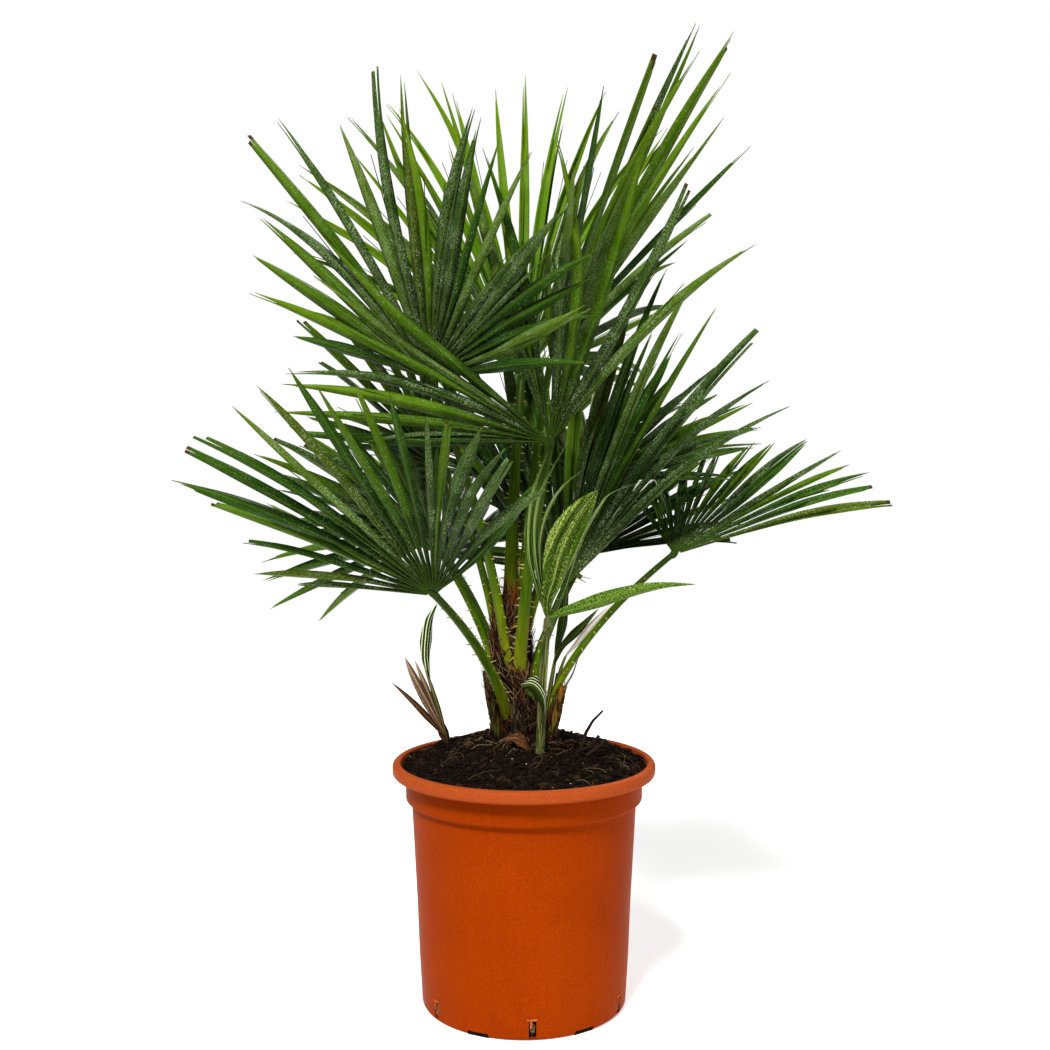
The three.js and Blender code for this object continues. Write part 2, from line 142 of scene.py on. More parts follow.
floor_material, _, sockets = new_material("studio_floor", (0.7, 0.7, 0.7), 0.9, 0.05)
feed(sockets, {"Emission Color": (1, 1, 1), "Emission Strength": 0.45})
bm = bmesh.new()
bmesh.ops.create_grid(bm, x_segments=1, y_segments=1, size=FLOOR_REACH)
floor = finish_piece("floor", bm, [floor_material])
floor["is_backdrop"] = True

bpy.context.scene.view_settings.view_transform = "Standard"
bpy.context.scene.view_settings.gamma = 0.88
world = bpy.data.worlds.new("studio")
world.use_nodes = True
tree = world.node_tree
surround = tree.nodes["Background"]
feed(surround.inputs, {"Color": (1, 1, 1), "Strength": SURROUND_LIGHT})
backdrop = add_node(tree, "Background", {"Color": (1, 1, 1)})
seen_directly = add_node(tree, "LightPath", {}, "Is Camera Ray")
chosen = add_node(tree, "MixShader", {0: seen_directly, 1: surround.outputs[0], 2: backdrop})
feed(tree.nodes["World Output"].inputs, {"Surface": chosen})
bpy.context.scene.world = world

for name, (towards, strength, softness) in LIGHTS.items():
    light_data = bpy.data.lights.new(name, "SUN")
    light_data.energy = strength
    light_data.angle = math.radians(softness)
    light = into_scene(name, light_data)
    light.rotation_euler = Vector(towards).to_track_quat("Z", "Y").to_euler()


# The pot: one injection-moulded shell of terracotta-coloured plastic with a rolled lip, a collar
# under it, shallow notches in its edge, and drain slots with lips. The top of the rolled lip and
# the slots' lips are painted paler: painted highlights.
POT_HEIGHT = 221
RIM_RADIUS = 119
COLLAR_RADIUS = 107
BODY_RADIUS = 101.5
BASE_RADIUS = 92.8
WALL = 2.3
POT_FLOOR = 5
POT_STEPS = 160
SLOTS = 6
SLOT_WIDTH = 6.4
SLOT_TURN = 4.5
NOTCH_TURN = -25.5
SHARP_ANGLE = 35
PLASTIC_GLOSS = (0.28, (1, 0.5, 0.3), 1.12)  # specular level, its tint, index of refraction


def turned_on_axis(bm, profile, steps):
    """Spins a chain of (radius, height) points in mm about Z and closes it."""
    vertices = [bm.verts.new((radius * MM, 0, height * MM)) for radius, height in profile]
    edges = [bm.edges.new(pair) for pair in zip(vertices, vertices[1:])]
    bmesh.ops.spin(bm, geom=vertices + edges, cent=(0, 0, 0), axis=(0, 0, 1),
                   angle=2 * math.pi, steps=steps, use_merge=True)
    bmesh.ops.remove_doubles(bm, verts=bm.verts, dist=0.01 * MM)
    bmesh.ops.recalc_face_normals(bm, faces=bm.faces)


def arc(centre_radius, centre_height, radius, start, end, steps):
    """Points of a round corner of the profile, from one angle to another in degrees."""
    turns = [math.radians(start + (end - start) * i / steps) for i in range(steps + 1)]
    return [(centre_radius + radius * math.cos(turn), centre_height + radius * math.sin(turn))
            for turn in turns]


def noise_over(tree, place, scale, detail, roughness=0.5, flat=False):
    """A noise over a place's coordinates, which a scale of three numbers stretches by axis."""
    if isinstance(scale, tuple):
        place = add_node(tree, "Mapping", {"Vector": place, "Scale": scale})
        scale = 1
    values = {"Vector": place, "Scale": scale, "Detail": detail, "Roughness": roughness}
    return add_node(tree, "TexNoise", values, noise_dimensions="2D" if flat else "3D")


def spread(tree, amount, start, end, low=0, high=1):
    """Goes from low to high while the amount goes from start to end."""
    return add_node(tree, "MapRange", {"Value": amount, "From Min": start, "From Max": end,
                                       "To Min": low, "To Max": high})


def tones(tree, amount, stops):
    """Runs through colours as the amount grows; each stop is (amount, colour)."""
    ramp = tree.nodes.new("ShaderNodeValToRGB")
    elements = ramp.color_ramp.elements
    for i, (position, colour) in enumerate(stops):
        element = elements[i] if i < 2 else elements.new(position)
        element.position = position
        element.color = (*colour, 1)
    feed(ramp.inputs, {"Fac": amount})
    return ramp.outputs["Color"]


def mixed(tree, share, first, second, blend_type="MIX"):
    """The first colour, with this share of the second mixed in or multiplied on."""
    return add_node(tree, "Mix", {"Factor": share, "A": first, "B": second}, "Result",
                    data_type="RGBA", blend_type=blend_type)


def bumps(tree, pattern, strength, depth):
    """Relief that follows a pattern, for a shader's normal."""
    return add_node(tree, "Bump", {"Height": pattern, "Strength": strength, "Distance": depth})


def object_place(tree):
    """Place in the object, in metres."""
    return add_node(tree, "TexCoord", {}, "Object")


def axis_of(tree, place, axis):
    """One coordinate of a place: X, Y or Z."""
    return add_node(tree, "SeparateXYZ", {"Vector": place}, axis)


def grained_material(name, base, roughness, gloss, grain, stops, relief=None):
    """A material whose colour follows a fine noise, which may also stand in relief."""
    material, tree, sockets = new_material(name, base, roughness, *gloss)
    pattern = noise_over(tree, object_place(tree), *grain)
    feed(sockets, {"Base Color": tones(tree, pattern, stops)})
    if relief:
        feed(sockets, {"Normal": bumps(tree, pattern, *relief)})
    return material


pot_profile = [(0, 0), (60, 0), (BASE_RADIUS - 5, 0)]
pot_profile += arc(BASE_RADIUS - 4, 4, 4, -80, -3, 6)
pot_profile += [(95.2, 47), (96.8, 91), (99.3, 140), (BODY_RADIUS, 182)]
pot_profile += arc(BODY_RADIUS + 3, 184, 3, 180, 100, 3)
pot_profile += arc(COLLAR_RADIUS - 2, 189, 2, -70, 0, 4)
pot_profile += [(COLLAR_RADIUS, 200), (COLLAR_RADIUS + 0.2, 206.5)]
pot_profile += arc(COLLAR_RADIUS + 2.2, 207.5, 2, 180, 100, 3)
pot_profile += arc(RIM_RADIUS - 3.2, 212.6, 3.2, -75, 0, 5)
pot_profile += arc(RIM_RADIUS - 4.4, POT_HEIGHT - 4.4, 4.4, 5, 90, 6)
pot_profile += arc(RIM_RADIUS - 5.6, POT_HEIGHT - 2, 2, 90, 170, 4)
pot_profile += [(RIM_RADIUS - 8.6, 214), (COLLAR_RADIUS - WALL, 206), (COLLAR_RADIUS - WALL, 190),
                (BODY_RADIUS - WALL, 184), (BASE_RADIUS - WALL, POT_FLOOR), (0, POT_FLOOR)]
bm = bmesh.new()
turned_on_axis(bm, pot_profile, POT_STEPS)

pot_material, tree, sockets = new_material(
    "terracotta_plastic", (0.3, 0.04, 0.0008), 0.5, *PLASTIC_GLOSS)
place = object_place(tree)
mottle = noise_over(tree, place, 14, 5)
tone = tones(tree, mottle, [(0.3, (0.275, 0.037, 0.0006)), (0.72, (0.31, 0.045, 0.001))])
# The top of the lip is painted paler: a painted sheen of the light from above.
on_lip = spread(tree, axis_of(tree, place, "Z"), 0.2085, 0.2115, 0, 0.6)
lip_painted_sheen = mixed(tree, on_lip, tone, (0.4, 0.095, 0.028))
pebble = noise_over(tree, place, 640, 3)
draw_marks = noise_over(tree, place, (240, 240, 7), 2)
speckle = add_node(tree, "Math", {0: draw_marks, 1: 0.2, 2: pebble}, operation="MULTIPLY_ADD")
shade = spread(tree, speckle, 0.35, 0.85, 0.82, 1.18)
feed(sockets, {"Base Color": mixed(tree, 1, lip_painted_sheen, shade, "MULTIPLY"),
               "Roughness": spread(tree, mottle, 0, 1, 0.36, 0.52),
               "Normal": bumps(tree, pebble, 0.16, 0.0006)})
pot = finish_piece("pot_shell", bm, [pot_material])


def cut_with(piece, cutter):
    """Cuts the cutter out of the piece for good and removes the cutter."""
    modifier = piece.modifiers.new("cut", "BOOLEAN")
    modifier.operation = "DIFFERENCE"
    modifier.solver = "EXACT"
    modifier.object = cutter
    graph = bpy.context.evaluated_depsgraph_get()
    cut_mesh = bpy.data.meshes.new_from_object(piece.evaluated_get(graph))
    piece.modifiers.clear()
    piece.data = cut_mesh
    bpy.data.objects.remove(cutter)


def turns_round(first):
    """Angles of the places round the pot's foot in radians, the first in degrees from -Y."""
    return [math.radians(-90 + first + i * 360 / SLOTS) for i in range(SLOTS)]


def block_at_foot(bm, size, place, turn):
    """Adds a block whose size and place are in mm, then turns it round the pot's axis."""
    corners = bmesh.ops.create_cube(bm, size=1)["verts"]
    bmesh.ops.scale(bm, verts=corners, vec=[side * MM for side in size])
    bmesh.ops.translate(bm, verts=corners, vec=[part * MM for part in place])
    bmesh.ops.rotate(bm, verts=corners, cent=(0, 0, 0), matrix=Matrix.Rotation(turn, 3, "Z"))


bm = bmesh.new()
for slot_turn, notch_turn in zip(turns_round(SLOT_TURN), turns_round(NOTCH_TURN)):
    block_at_foot(bm, (12, SLOT_WIDTH, 15), (90.8, 0, 10), slot_turn)
    block_at_foot(bm, (10, 20, 8.4), (BASE_RADIUS, 0, 0), notch_turn)
cut_with(pot, finish_piece("slot_cutters", bm, []))
for polygon in pot.data.polygons:
    polygon.use_smooth = True
pot.data.set_sharp_from_angle(angle=math.radians(SHARP_ANGLE))
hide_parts("pot")
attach(pot, "root")

# The slots' lips are paler than the pot: a painted highlight on them.
slot_lip_highlight_material = grained_material(
    "painted_highlight_terracotta", (0.42, 0.11, 0.03), 0.6, PLASTIC_GLOSS, (700, 3),
    [(0.4, (0.3, 0.045, 0.002)), (0.62, (0.47, 0.15, 0.06))])
bm = bmesh.new()
for turn in turns_round(SLOT_TURN):
    block_at_foot(bm, (1.6, 10, 2), (93.6, 0, 18.9), turn)
    block_at_foot(bm, (1.4, 2.2, 7), (93.2, -1.2, 14.8), turn)
bmesh.ops.bevel(bm, geom=bm.edges[:], offset=0.4 * MM, segments=2, profile=0.5,
                affect="EDGES", material=-1)
slot_lips = finish_piece("slot_lips", bm, [slot_lip_highlight_material])
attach(slot_lips, "root")


# The soil: dark peat and bark compost, mounded under the trunk, with loose crumbs, slivers of
# bark, twigs and pale root hairs on it and roots in the slots. Blocks of it set in the notches at
# the foot are painted shade.
SOIL_EDGE = 217.5
SOIL_TOP = 240
SOIL_FLAT_RADIUS = 38
SOIL_RADIUS = RIM_RADIUS - 8.8
SOIL_RINGS = 80
SOIL_STEPS = 200
SOIL_WAVES = ((0, 45, 3.2), (0.3, 130, 2.2), (0.7, 320, 1.2))  # layer, fineness, height
CRUMBS = 5600
CRUMB_SIZES = (0.6, 0.8, 1.0, 1.3, 1.8, 2.6)
ROOT_HAIRS = 110
HAIR_KNOTS = 7
ROOTS_IN_SLOT = 6
TWIGS = [[(48, -32, 232), (55, -30, 252), (61, -29, 262), (70, -28, 271)],
         [(50, -40, 230), (62, -38, 238), (72, -36, 246)],
         [(46, -30, 234), (60, -34, 240), (66, -34, 250)]]


def soil_height(radius):
    """Height of the mound in mm at a distance from the pot's axis, without its roughness."""
    share = min(max((SOIL_RADIUS - radius) / (SOIL_RADIUS - SOIL_FLAT_RADIUS), 0), 1)
    return SOIL_EDGE + (SOIL_TOP - SOIL_EDGE) * (1 - (1 - share) ** 1.5)


def soil_surface(x, y):
    """Height in metres of the rough soil at a place in metres."""
    rough = sum(noise.noise(Vector((x, y, layer)) * fineness) * height
                for layer, fineness, height in SOIL_WAVES)
    return (soil_height(math.hypot(x, y) / MM) - 1.5 + rough) * MM


bm = bmesh.new()
soil_profile = [(SOIL_RADIUS * i / SOIL_RINGS, SOIL_TOP) for i in range(SOIL_RINGS + 1)]
turned_on_axis(bm, soil_profile, SOIL_STEPS)
for vertex in bm.verts:
    vertex.co.z = soil_surface(vertex.co.x, vertex.co.y)
for radius, height in ((COLLAR_RADIUS - WALL - 0.8, 205), (BODY_RADIUS - WALL - 0.8, 183),
                       (BASE_RADIUS - WALL - 0.6, POT_FLOOR + 0.4)):
    rim = [edge for edge in bm.edges if edge.is_boundary]
    skirt = bmesh.ops.extrude_edge_only(bm, edges=rim)["geom"]
    for vertex in [item for item in skirt if isinstance(item, bmesh.types.BMVert)]:
        flat = Vector((vertex.co.x, vertex.co.y, 0)).normalized() * radius * MM
        vertex.co = Vector((flat.x, flat.y, height * MM))
rim = [edge for edge in bm.edges if edge.is_boundary]
bmesh.ops.contextual_create(bm, geom=rim)
bmesh.ops.recalc_face_normals(bm, faces=bm.faces)
# Dark compost blocks in the notches at the pot's foot: painted shade under the pot's edge.
for turn in turns_round(NOTCH_TURN):
    block_at_foot(bm, (3, 19.6, 3.8), (89.4, 0, 2.1), turn)
soil_material = grained_material(
    "compost", (0.012, 0.008, 0.006), 0.9, (0.25,), (330, 8),
    [(0.38, (0.0035, 0.0022, 0.0014)), (0.72, (0.03, 0.017, 0.009))], (0.9, 0.002))
soil = finish_piece("compost", bm, [soil_material])
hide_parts("soil")
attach(soil, "root")

crumb_materials = [new_material(*finish)[0] for finish in (
    ("peat_crumb", (0.011, 0.0065, 0.004), 0.95, 0.12),
    ("bark_chip", (0.036, 0.019, 0.009), 0.85, 0.15),
    ("white_grit", (0.4, 0.4, 0.35), 0.7, 0.3))]
chance = random.Random(41)
bm = bmesh.new()
bmesh.ops.create_icosphere(bm, subdivisions=1, radius=1)
crumb_corners = [vertex.co.copy() for vertex in bm.verts]
crumb_faces = [[vertex.index for vertex in face.verts] for face in bm.faces]
bm.free()
places = []
faces = []
skins = []
for i in range(CRUMBS):
    bearing = chance.uniform(0, 2 * math.pi)
    radius = SOIL_RADIUS * math.sqrt(chance.uniform(0.03, 0.985)) * MM
    x, y = radius * math.cos(bearing), radius * math.sin(bearing)
    size = chance.choice(CRUMB_SIZES) * chance.uniform(0.8, 1.2) * MM
    stretch = Vector((chance.uniform(0.6, 2.1), chance.uniform(0.5, 1.2), chance.uniform(0.4, 0.9)))
    turn = Matrix.Rotation(chance.uniform(0, 6.3), 3, "Z")
    seat = Vector((x, y, soil_surface(x, y) + 0.25 * size))
    first = len(places)
    for corner in crumb_corners:
        rough = 1 + 0.45 * noise.noise(corner * 0.9 + Vector((i, 0, 0)))
        places.append(seat + turn @ (corner * stretch) * rough * size)
    faces += [[first + corner for corner in face] for face in crumb_faces]
    kind = chance.choices((0, 1, 2), (88, 11, 1.2 if size < 1 * MM else 0))[0]
    skins += [kind] * len(crumb_faces)
crumb_mesh = bpy.data.meshes.new("soil_crumbs")
crumb_mesh.from_pydata(places, [], faces)
for material in crumb_materials:
    crumb_mesh.materials.append(material)
crumb_mesh.polygons.foreach_set("material_index", skins)
crumb_mesh.polygons.foreach_set("use_smooth", [True] * len(faces))
crumbs = into_scene("soil_crumbs", crumb_mesh)
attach(crumbs, "root")


def strands_mesh(strands):
    """Thin tapering strands as one mesh; each is (points, radii, material index)."""
    drawn = bpy.data.curves.new("strands", "CURVE")
    drawn.dimensions = "3D"
    drawn.bevel_depth = 1
    drawn.bevel_resolution = 0
    drawn.use_fill_caps = True
    for i in range(1 + max(material_index for _, _, material_index in strands)):
        drawn.materials.append(None)
    for points, radii, material_index in strands:
        spline = drawn.splines.new("POLY")
        spline.points.add(len(points) - 1)
        for knot, point, radius in zip(spline.points, points, radii):
            knot.co = (*point, 1)
            knot.radius = radius
        spline.material_index = material_index
    holder = into_scene("strands", drawn)
    graph = bpy.context.evaluated_depsgraph_get()
    mesh = bpy.data.meshes.new_from_object(holder.evaluated_get(graph))
    bpy.data.objects.remove(holder)
    bpy.data.curves.remove(drawn)
    return mesh


def strand_piece(name, strands, materials):
    """A piece that is all thin strands."""
    bm = bmesh.new()
    bm.from_mesh(strands_mesh(strands))
    return finish_piece(name, bm, materials)


def outward_at(turn):
    """Level direction away from the pot's axis at this angle."""
    return Vector((math.cos(turn), math.sin(turn), 0))


root_material = new_material("root_hair", (0.2, 0.15, 0.085), 0.7, 0.2)[0]
twig_material = new_material("dark_twig", (0.03, 0.018, 0.013), 0.7, 0.3)[0]
strands = []
for i in range(ROOT_HAIRS):
    bearing = chance.uniform(0, 2 * math.pi)
    radius = SOIL_RADIUS * math.sqrt(chance.uniform(0.1, 0.86)) * MM
    heading = chance.uniform(0, 2 * math.pi)
    curl = chance.uniform(-0.5, 0.5)
    step = chance.uniform(1.6, 5.5) * MM
    x, y = radius * math.cos(bearing), radius * math.sin(bearing)
    points = []
    arch = chance.uniform(0, 4) * MM
    for k in range(HAIR_KNOTS):
        lift = (0.3 + math.sin(math.pi * k / (HAIR_KNOTS - 1)) * arch / MM) * MM
        points.append(Vector((x, y, soil_surface(x, y) + lift)))
        x += step * math.cos(heading)
        y += step * math.sin(heading)
        heading += curl
        if math.hypot(x, y) > (SOIL_RADIUS - 3) * MM:
            heading += 2.5
    thick = chance.uniform(0.12, 0.32) * MM
    strands.append((points, [thick * (1 - 0.09 * k) for k in range(HAIR_KNOTS)],
                    0 if chance.random() < 0.7 else 1))
for turn in turns_round(SLOT_TURN):
    outward = outward_at(turn)
    aside = Vector((-outward.y, outward.x, 0))
    for k in range(ROOTS_IN_SLOT):
        low = chance.uniform(5, 9)
        high = chance.uniform(11, 16)
        points = [(outward * (BASE_RADIUS - 1.6 + chance.uniform(0, 1.4))
                   + aside * chance.uniform(-2.4, 2.4)
                   + Vector((0, 0, low + (high - low) * step / 3))) * MM for step in range(4)]
        strands.append((points, [chance.uniform(0.25, 0.5) * MM] * 4, 0))
for twig in TWIGS:
    strands.append(([Vector(point) * MM for point in twig],
                    [(2 - 0.35 * k) * MM for k in range(len(twig))], 1))
root_hairs = strand_piece("root_hairs", strands, [root_material, twig_material])
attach(root_hairs, "root")


# The trunk: a short stem wrapped in the dark fibrous bases of old leaves, flared where it
# stands on the soil and leaning a little to the left, with loose fibres all over it.
TRUNK_TOP = 366
TRUNK_LEAN = -12
TRUNK_LEAN_HEIGHT = 90
TRUNK_RADII = [(32, 0), (30.5, 6), (27.5, 15), (25, 30), (21.5, 50), (18.5, 75), (16, 105)]
TRUNK_RINGS = 82
TRUNK_STEPS = 120
SCALE_PITCH = 26
TRUNK_FIBRES = 1500
FIBRE_TAPER = (1, 1, 0.9, 0.7, 0.25)  # thickness at each knot, from root to tip
TOP_FIBRES = 320
TOP_FIBRE_TAPER = (1, 1, 0.8, 0.6, 0.2)
FOOT_ROOTS = 420
FOOT_ROOT_KNOTS = 6


def smooth_share(value, low, high):
    """Goes from 0 to 1 with soft ends while the value goes from low to high."""
    share = min(max((value - low) / (high - low), 0), 1)
    return share * share * (3 - 2 * share)


def lean_at(height):
    """Sideways shift of the trunk's middle in mm."""
    return TRUNK_LEAN * smooth_share(height, SOIL_TOP, SOIL_TOP + TRUNK_LEAN_HEIGHT)


def trunk_radius(height):
    """Radius of the trunk in mm at a height, straight between its named rings."""
    above = height - SOIL_TOP
    for (low, start), (high, end) in zip(TRUNK_RADII, TRUNK_RADII[1:]):
        if above <= end:
            return low + (high - low) * max(above - start, 0) / (end - start)
    return TRUNK_RADII[-1][0]


bm = bmesh.new()
trunk_profile = [(0, SOIL_TOP - 4)]
trunk_profile += [(trunk_radius(SOIL_TOP + i * 1.5), SOIL_TOP - 3 + i * 1.5)
                  for i in range(TRUNK_RINGS)]
trunk_profile += [(13, TRUNK_TOP - 4), (8, TRUNK_TOP - 1), (0, TRUNK_TOP)]
turned_on_axis(bm, trunk_profile, TRUNK_STEPS)
for vertex in bm.verts:
    height = vertex.co.z / MM
    bearing = math.atan2(vertex.co.y, vertex.co.x)
    spiral = bearing * 3 / math.tau + height / SCALE_PITCH
    scale_edge = (spiral % 1) ** 2.2 * 2.2
    ridge = noise.noise(Vector((math.cos(bearing) * 6, math.sin(bearing) * 6, height / 14))) * 1.6
    fibre = noise.noise(Vector((math.cos(bearing) * 22, math.sin(bearing) * 22, height / 30))) * 0.9
    if math.hypot(vertex.co.x, vertex.co.y) > 1 * MM:
        vertex.co += outward_at(bearing) * (scale_edge + ridge + fibre - 1.2) * MM
    vertex.co.x += lean_at(height) * MM
bark_material = grained_material(
    "fibrous_bark", (0.05, 0.028, 0.016), 0.85, (0.3,), ((260, 260, 34), 6),
    [(0.35, (0.004, 0.002, 0.0012)), (0.78, (0.06, 0.026, 0.011))], (0.9, 0.0015))
trunk = finish_piece("trunk_bark", bm, [bark_material])
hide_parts("trunk")
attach(trunk, "root")

fibre_materials = [new_material(*finish)[0] for finish in (
    ("dark_fibre", (0.014, 0.008, 0.005), 0.8, 0.2),
    ("russet_fibre", (0.2, 0.06, 0.012), 0.75, 0.2),
    ("tan_fibre", (0.26, 0.18, 0.1), 0.75, 0.2))]
chance = random.Random(77)
strands = []
for i in range(TRUNK_FIBRES):
    bearing = chance.uniform(0, 2 * math.pi)
    height = chance.uniform(SOIL_TOP, TRUNK_TOP - 14)
    climb = chance.uniform(4, 26)
    swirl = chance.gauss(0, 0.5)
    stand = chance.uniform(0.5, 6)
    points = []
    for share in (0, 0.25, 0.5, 0.75, 1):
        level = height + climb * share
        radius = trunk_radius(level) + 0.4 + stand * share ** 2
        turn = bearing + swirl * share
        points.append(Vector((radius * math.cos(turn) + lean_at(level),
                              radius * math.sin(turn), level)) * MM)
    thick = chance.uniform(0.14, 0.42) * MM
    # More russet fibres towards the top: partly their own colour, partly painted light on the lit
    # top of the trunk.
    weights = (5, 2 + 6 * max(0, (height - 310) / 50), 2.4)
    strands.append((points, [thick * part for part in FIBRE_TAPER],
                    chance.choices((0, 1, 2), weights)[0]))
for i in range(TOP_FIBRES):
    bearing = chance.uniform(0, 2 * math.pi)
    radius = chance.uniform(3, 16)
    seat = Vector((radius * math.cos(bearing) + lean_at(TRUNK_TOP), radius * math.sin(bearing),
                   TRUNK_TOP - chance.uniform(4, 22)))
    rising = Vector((chance.gauss(0, 0.3), chance.gauss(0, 0.3), 1)) * chance.uniform(10, 30)
    points = [(seat + rising * k / 4 + Vector((0, 0, 0.6)) * k * (4 - k)) * MM for k in range(5)]
    thick = chance.uniform(0.16, 0.45) * MM
    strands.append((points, [thick * part for part in TOP_FIBRE_TAPER],
                    # Mostly russet at the top: partly the fibres' own colour, partly painted light.
                    chance.choices((0, 1, 2), (2, 5, 1))[0]))
for i in range(FOOT_ROOTS):
    bearing = chance.uniform(0, 2 * math.pi)
    heading = bearing + chance.gauss(0, 1.2)
    radius = chance.uniform(24, 52) * MM
    step = chance.uniform(1.2, 4.2) * MM
    x, y = radius * math.cos(bearing), radius * math.sin(bearing)
    arch = chance.uniform(0.5, 5) * max(0, 1.3 - radius / MM / 52) + 0.4
    points = []
    for k in range(FOOT_ROOT_KNOTS):
        lift = 4 * max(0, 1 - math.hypot(x, y) / MM / 46)
        lift += math.sin(math.pi * k / (FOOT_ROOT_KNOTS - 1)) * arch
        points.append(Vector((x, y, soil_surface(x, y) + lift * MM)))
        x += step * math.cos(heading)
        y += step * math.sin(heading)
        heading += chance.gauss(0, 0.3)
    thick = chance.uniform(0.16, 0.5) * MM
    strands.append((points, [thick * (1 - 0.13 * k) for k in range(FOOT_ROOT_KNOTS)],
                    chance.choices((0, 1, 2), (5, 1, 2.4))[0]))
trunk_fibres = strand_piece("trunk_fibres", strands, fibre_materials)
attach(trunk_fibres, "root")


# The stubs: the feet of old stalks that were cut away, pressed to the trunk, dry and streaked,
# one still green and one orange, with frayed fibres on them.
STUBS = [(208, 246, 304, 0), (338, 246, 290, 1), (262, 244, 282, 2),  # bearing, low, high, skin
         (118, 246, 300, 2), (28, 246, 296, 2)]
STUB_FOOT = 17
STUB_TIP = 10
STUB_REACH = 13
STUB_INSET = 6
STUB_FLATNESS = 0.5
STUB_STRANDS = 90
STUB_STRAND_TAPER = (1, 0.9, 0.7, 0.3)
FIBRE_SKINS = (3, 4, 5)


def bezier(start, bend, end, share):
    """Point of a curve with one bend at a share of its run."""
    rest = 1 - share
    return start * rest * rest + bend * 2 * rest * share + end * share * share


def bent_bar(bm, curve, side, width_at, thickness_at, rings, columns, material_index=0):
    """A bar swept along the curve: a grid rolled up round it, with closed ends."""
    grid = bmesh.ops.create_grid(bm, x_segments=columns, y_segments=rings, size=1)["verts"]
    faces = {face for vertex in grid for face in vertex.link_faces}
    for vertex in grid:
        turn = math.pi * (vertex.co.x + 1)
        share = (vertex.co.y + 1) / 2
        ahead = curve(min(share + 0.01, 1)) - curve(max(share - 0.01, 0))
        upper = ahead.cross(side).normalized()
        across = upper.cross(ahead).normalized()
        vertex.co = (curve(share) + across * math.cos(turn) * width_at(share) / 2
                     + upper * math.sin(turn) * thickness_at(share) / 2)
    for face in faces:
        face.material_index = material_index
    bmesh.ops.remove_doubles(bm, verts=grid, dist=0.002 * MM)
    ends = [edge for edge in bm.edges if edge.is_boundary]
    bmesh.ops.holes_fill(bm, edges=ends, sides=0)


def stub_width(share):
    """Width of a stub in mm at a share of its run."""
    return STUB_FOOT + (STUB_TIP - STUB_FOOT) * share


def stub_material(name, foot, top):
    """An old stalk's stub: its colour from foot to broken top, streaked with dark fibre."""
    material, tree, sockets = new_material(name, foot, 0.7, 0.3)
    place = object_place(tree)
    rising = mixed(tree, spread(tree, axis_of(tree, place, "Z"), 0.245, 0.3), foot, top)
    fibres = noise_over(tree, place, (420, 420, 40), 5)
    streaks = tones(tree, fibres, [(0.4, (0.1, 0.07, 0.05)), (0.62, (1, 1, 1))])
    feed(sockets, {"Base Color": mixed(tree, 1, rising, streaks, "MULTIPLY"),
                   "Normal": bumps(tree, fibres, 0.8, 0.0012)})
    return material


stub_materials = [stub_material(*finish) for finish in (
    ("green_stub", (0.14, 0.13, 0.02), (0.05, 0.025, 0.01)),
    ("orange_stub", (0.2, 0.17, 0.02), (0.3, 0.1, 0.015)),
    ("brown_stub", (0.07, 0.045, 0.02), (0.03, 0.017, 0.01)))]
stub_strands = []
bm = bmesh.new()
for bearing, low, high, skin in STUBS:
    turn = math.radians(bearing)
    outward = outward_at(turn)
    sideways = Vector((-outward.y, outward.x, 0))
    base = (outward * (trunk_radius(low) - STUB_INSET) + Vector((lean_at(low), 0, low - 4))) * MM
    end = (outward * (trunk_radius(low) + STUB_REACH - STUB_INSET)
           + Vector((lean_at(low), 0, high))) * MM
    bend = (base + end) / 2 + outward * 3 * MM
    for i in range(STUB_STRANDS):
        share = chance.uniform(0, 0.9)
        half = stub_width(share) / 2
        aside = chance.uniform(-1, 1)
        seat = (bezier(base, bend, end, share) + sideways * aside * half * MM
                + outward * math.sqrt(1 - aside * aside) * half * 0.55 * MM)
        climb = chance.uniform(4, 16)
        lean = sideways * chance.gauss(0, 0.35) + outward * chance.uniform(0, 0.25)
        points = [seat + (Vector((0, 0, climb)) + lean * climb * k / 3) * k / 3 * MM
                  for k in range(4)]
        thick = chance.uniform(0.16, 0.42) * MM
        stub_strands.append((points, [thick * part for part in STUB_STRAND_TAPER],
                             chance.choices(FIBRE_SKINS, (5, 1.5, 1.5))[0]))
    bent_bar(bm, lambda share: bezier(base, bend, end, share), sideways,
             lambda share: stub_width(share) * MM,
             lambda share: stub_width(share) * STUB_FLATNESS * MM, 14, 16, skin)
for vertex in bm.verts:
    streak = noise.noise(Vector((vertex.co.x * 300, vertex.co.y * 300, vertex.co.z * 50)))
    vertex.co += Vector((vertex.co.x, vertex.co.y, 0)).normalized() * streak * 1.3 * MM
bm.from_mesh(strands_mesh(stub_strands))
stubs = finish_piece("old_stalk_stubs", bm, stub_materials + fibre_materials)
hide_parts("stub_1", "stub_2", "stub_3", "stub_4", "stub_5")
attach(stubs, "root")


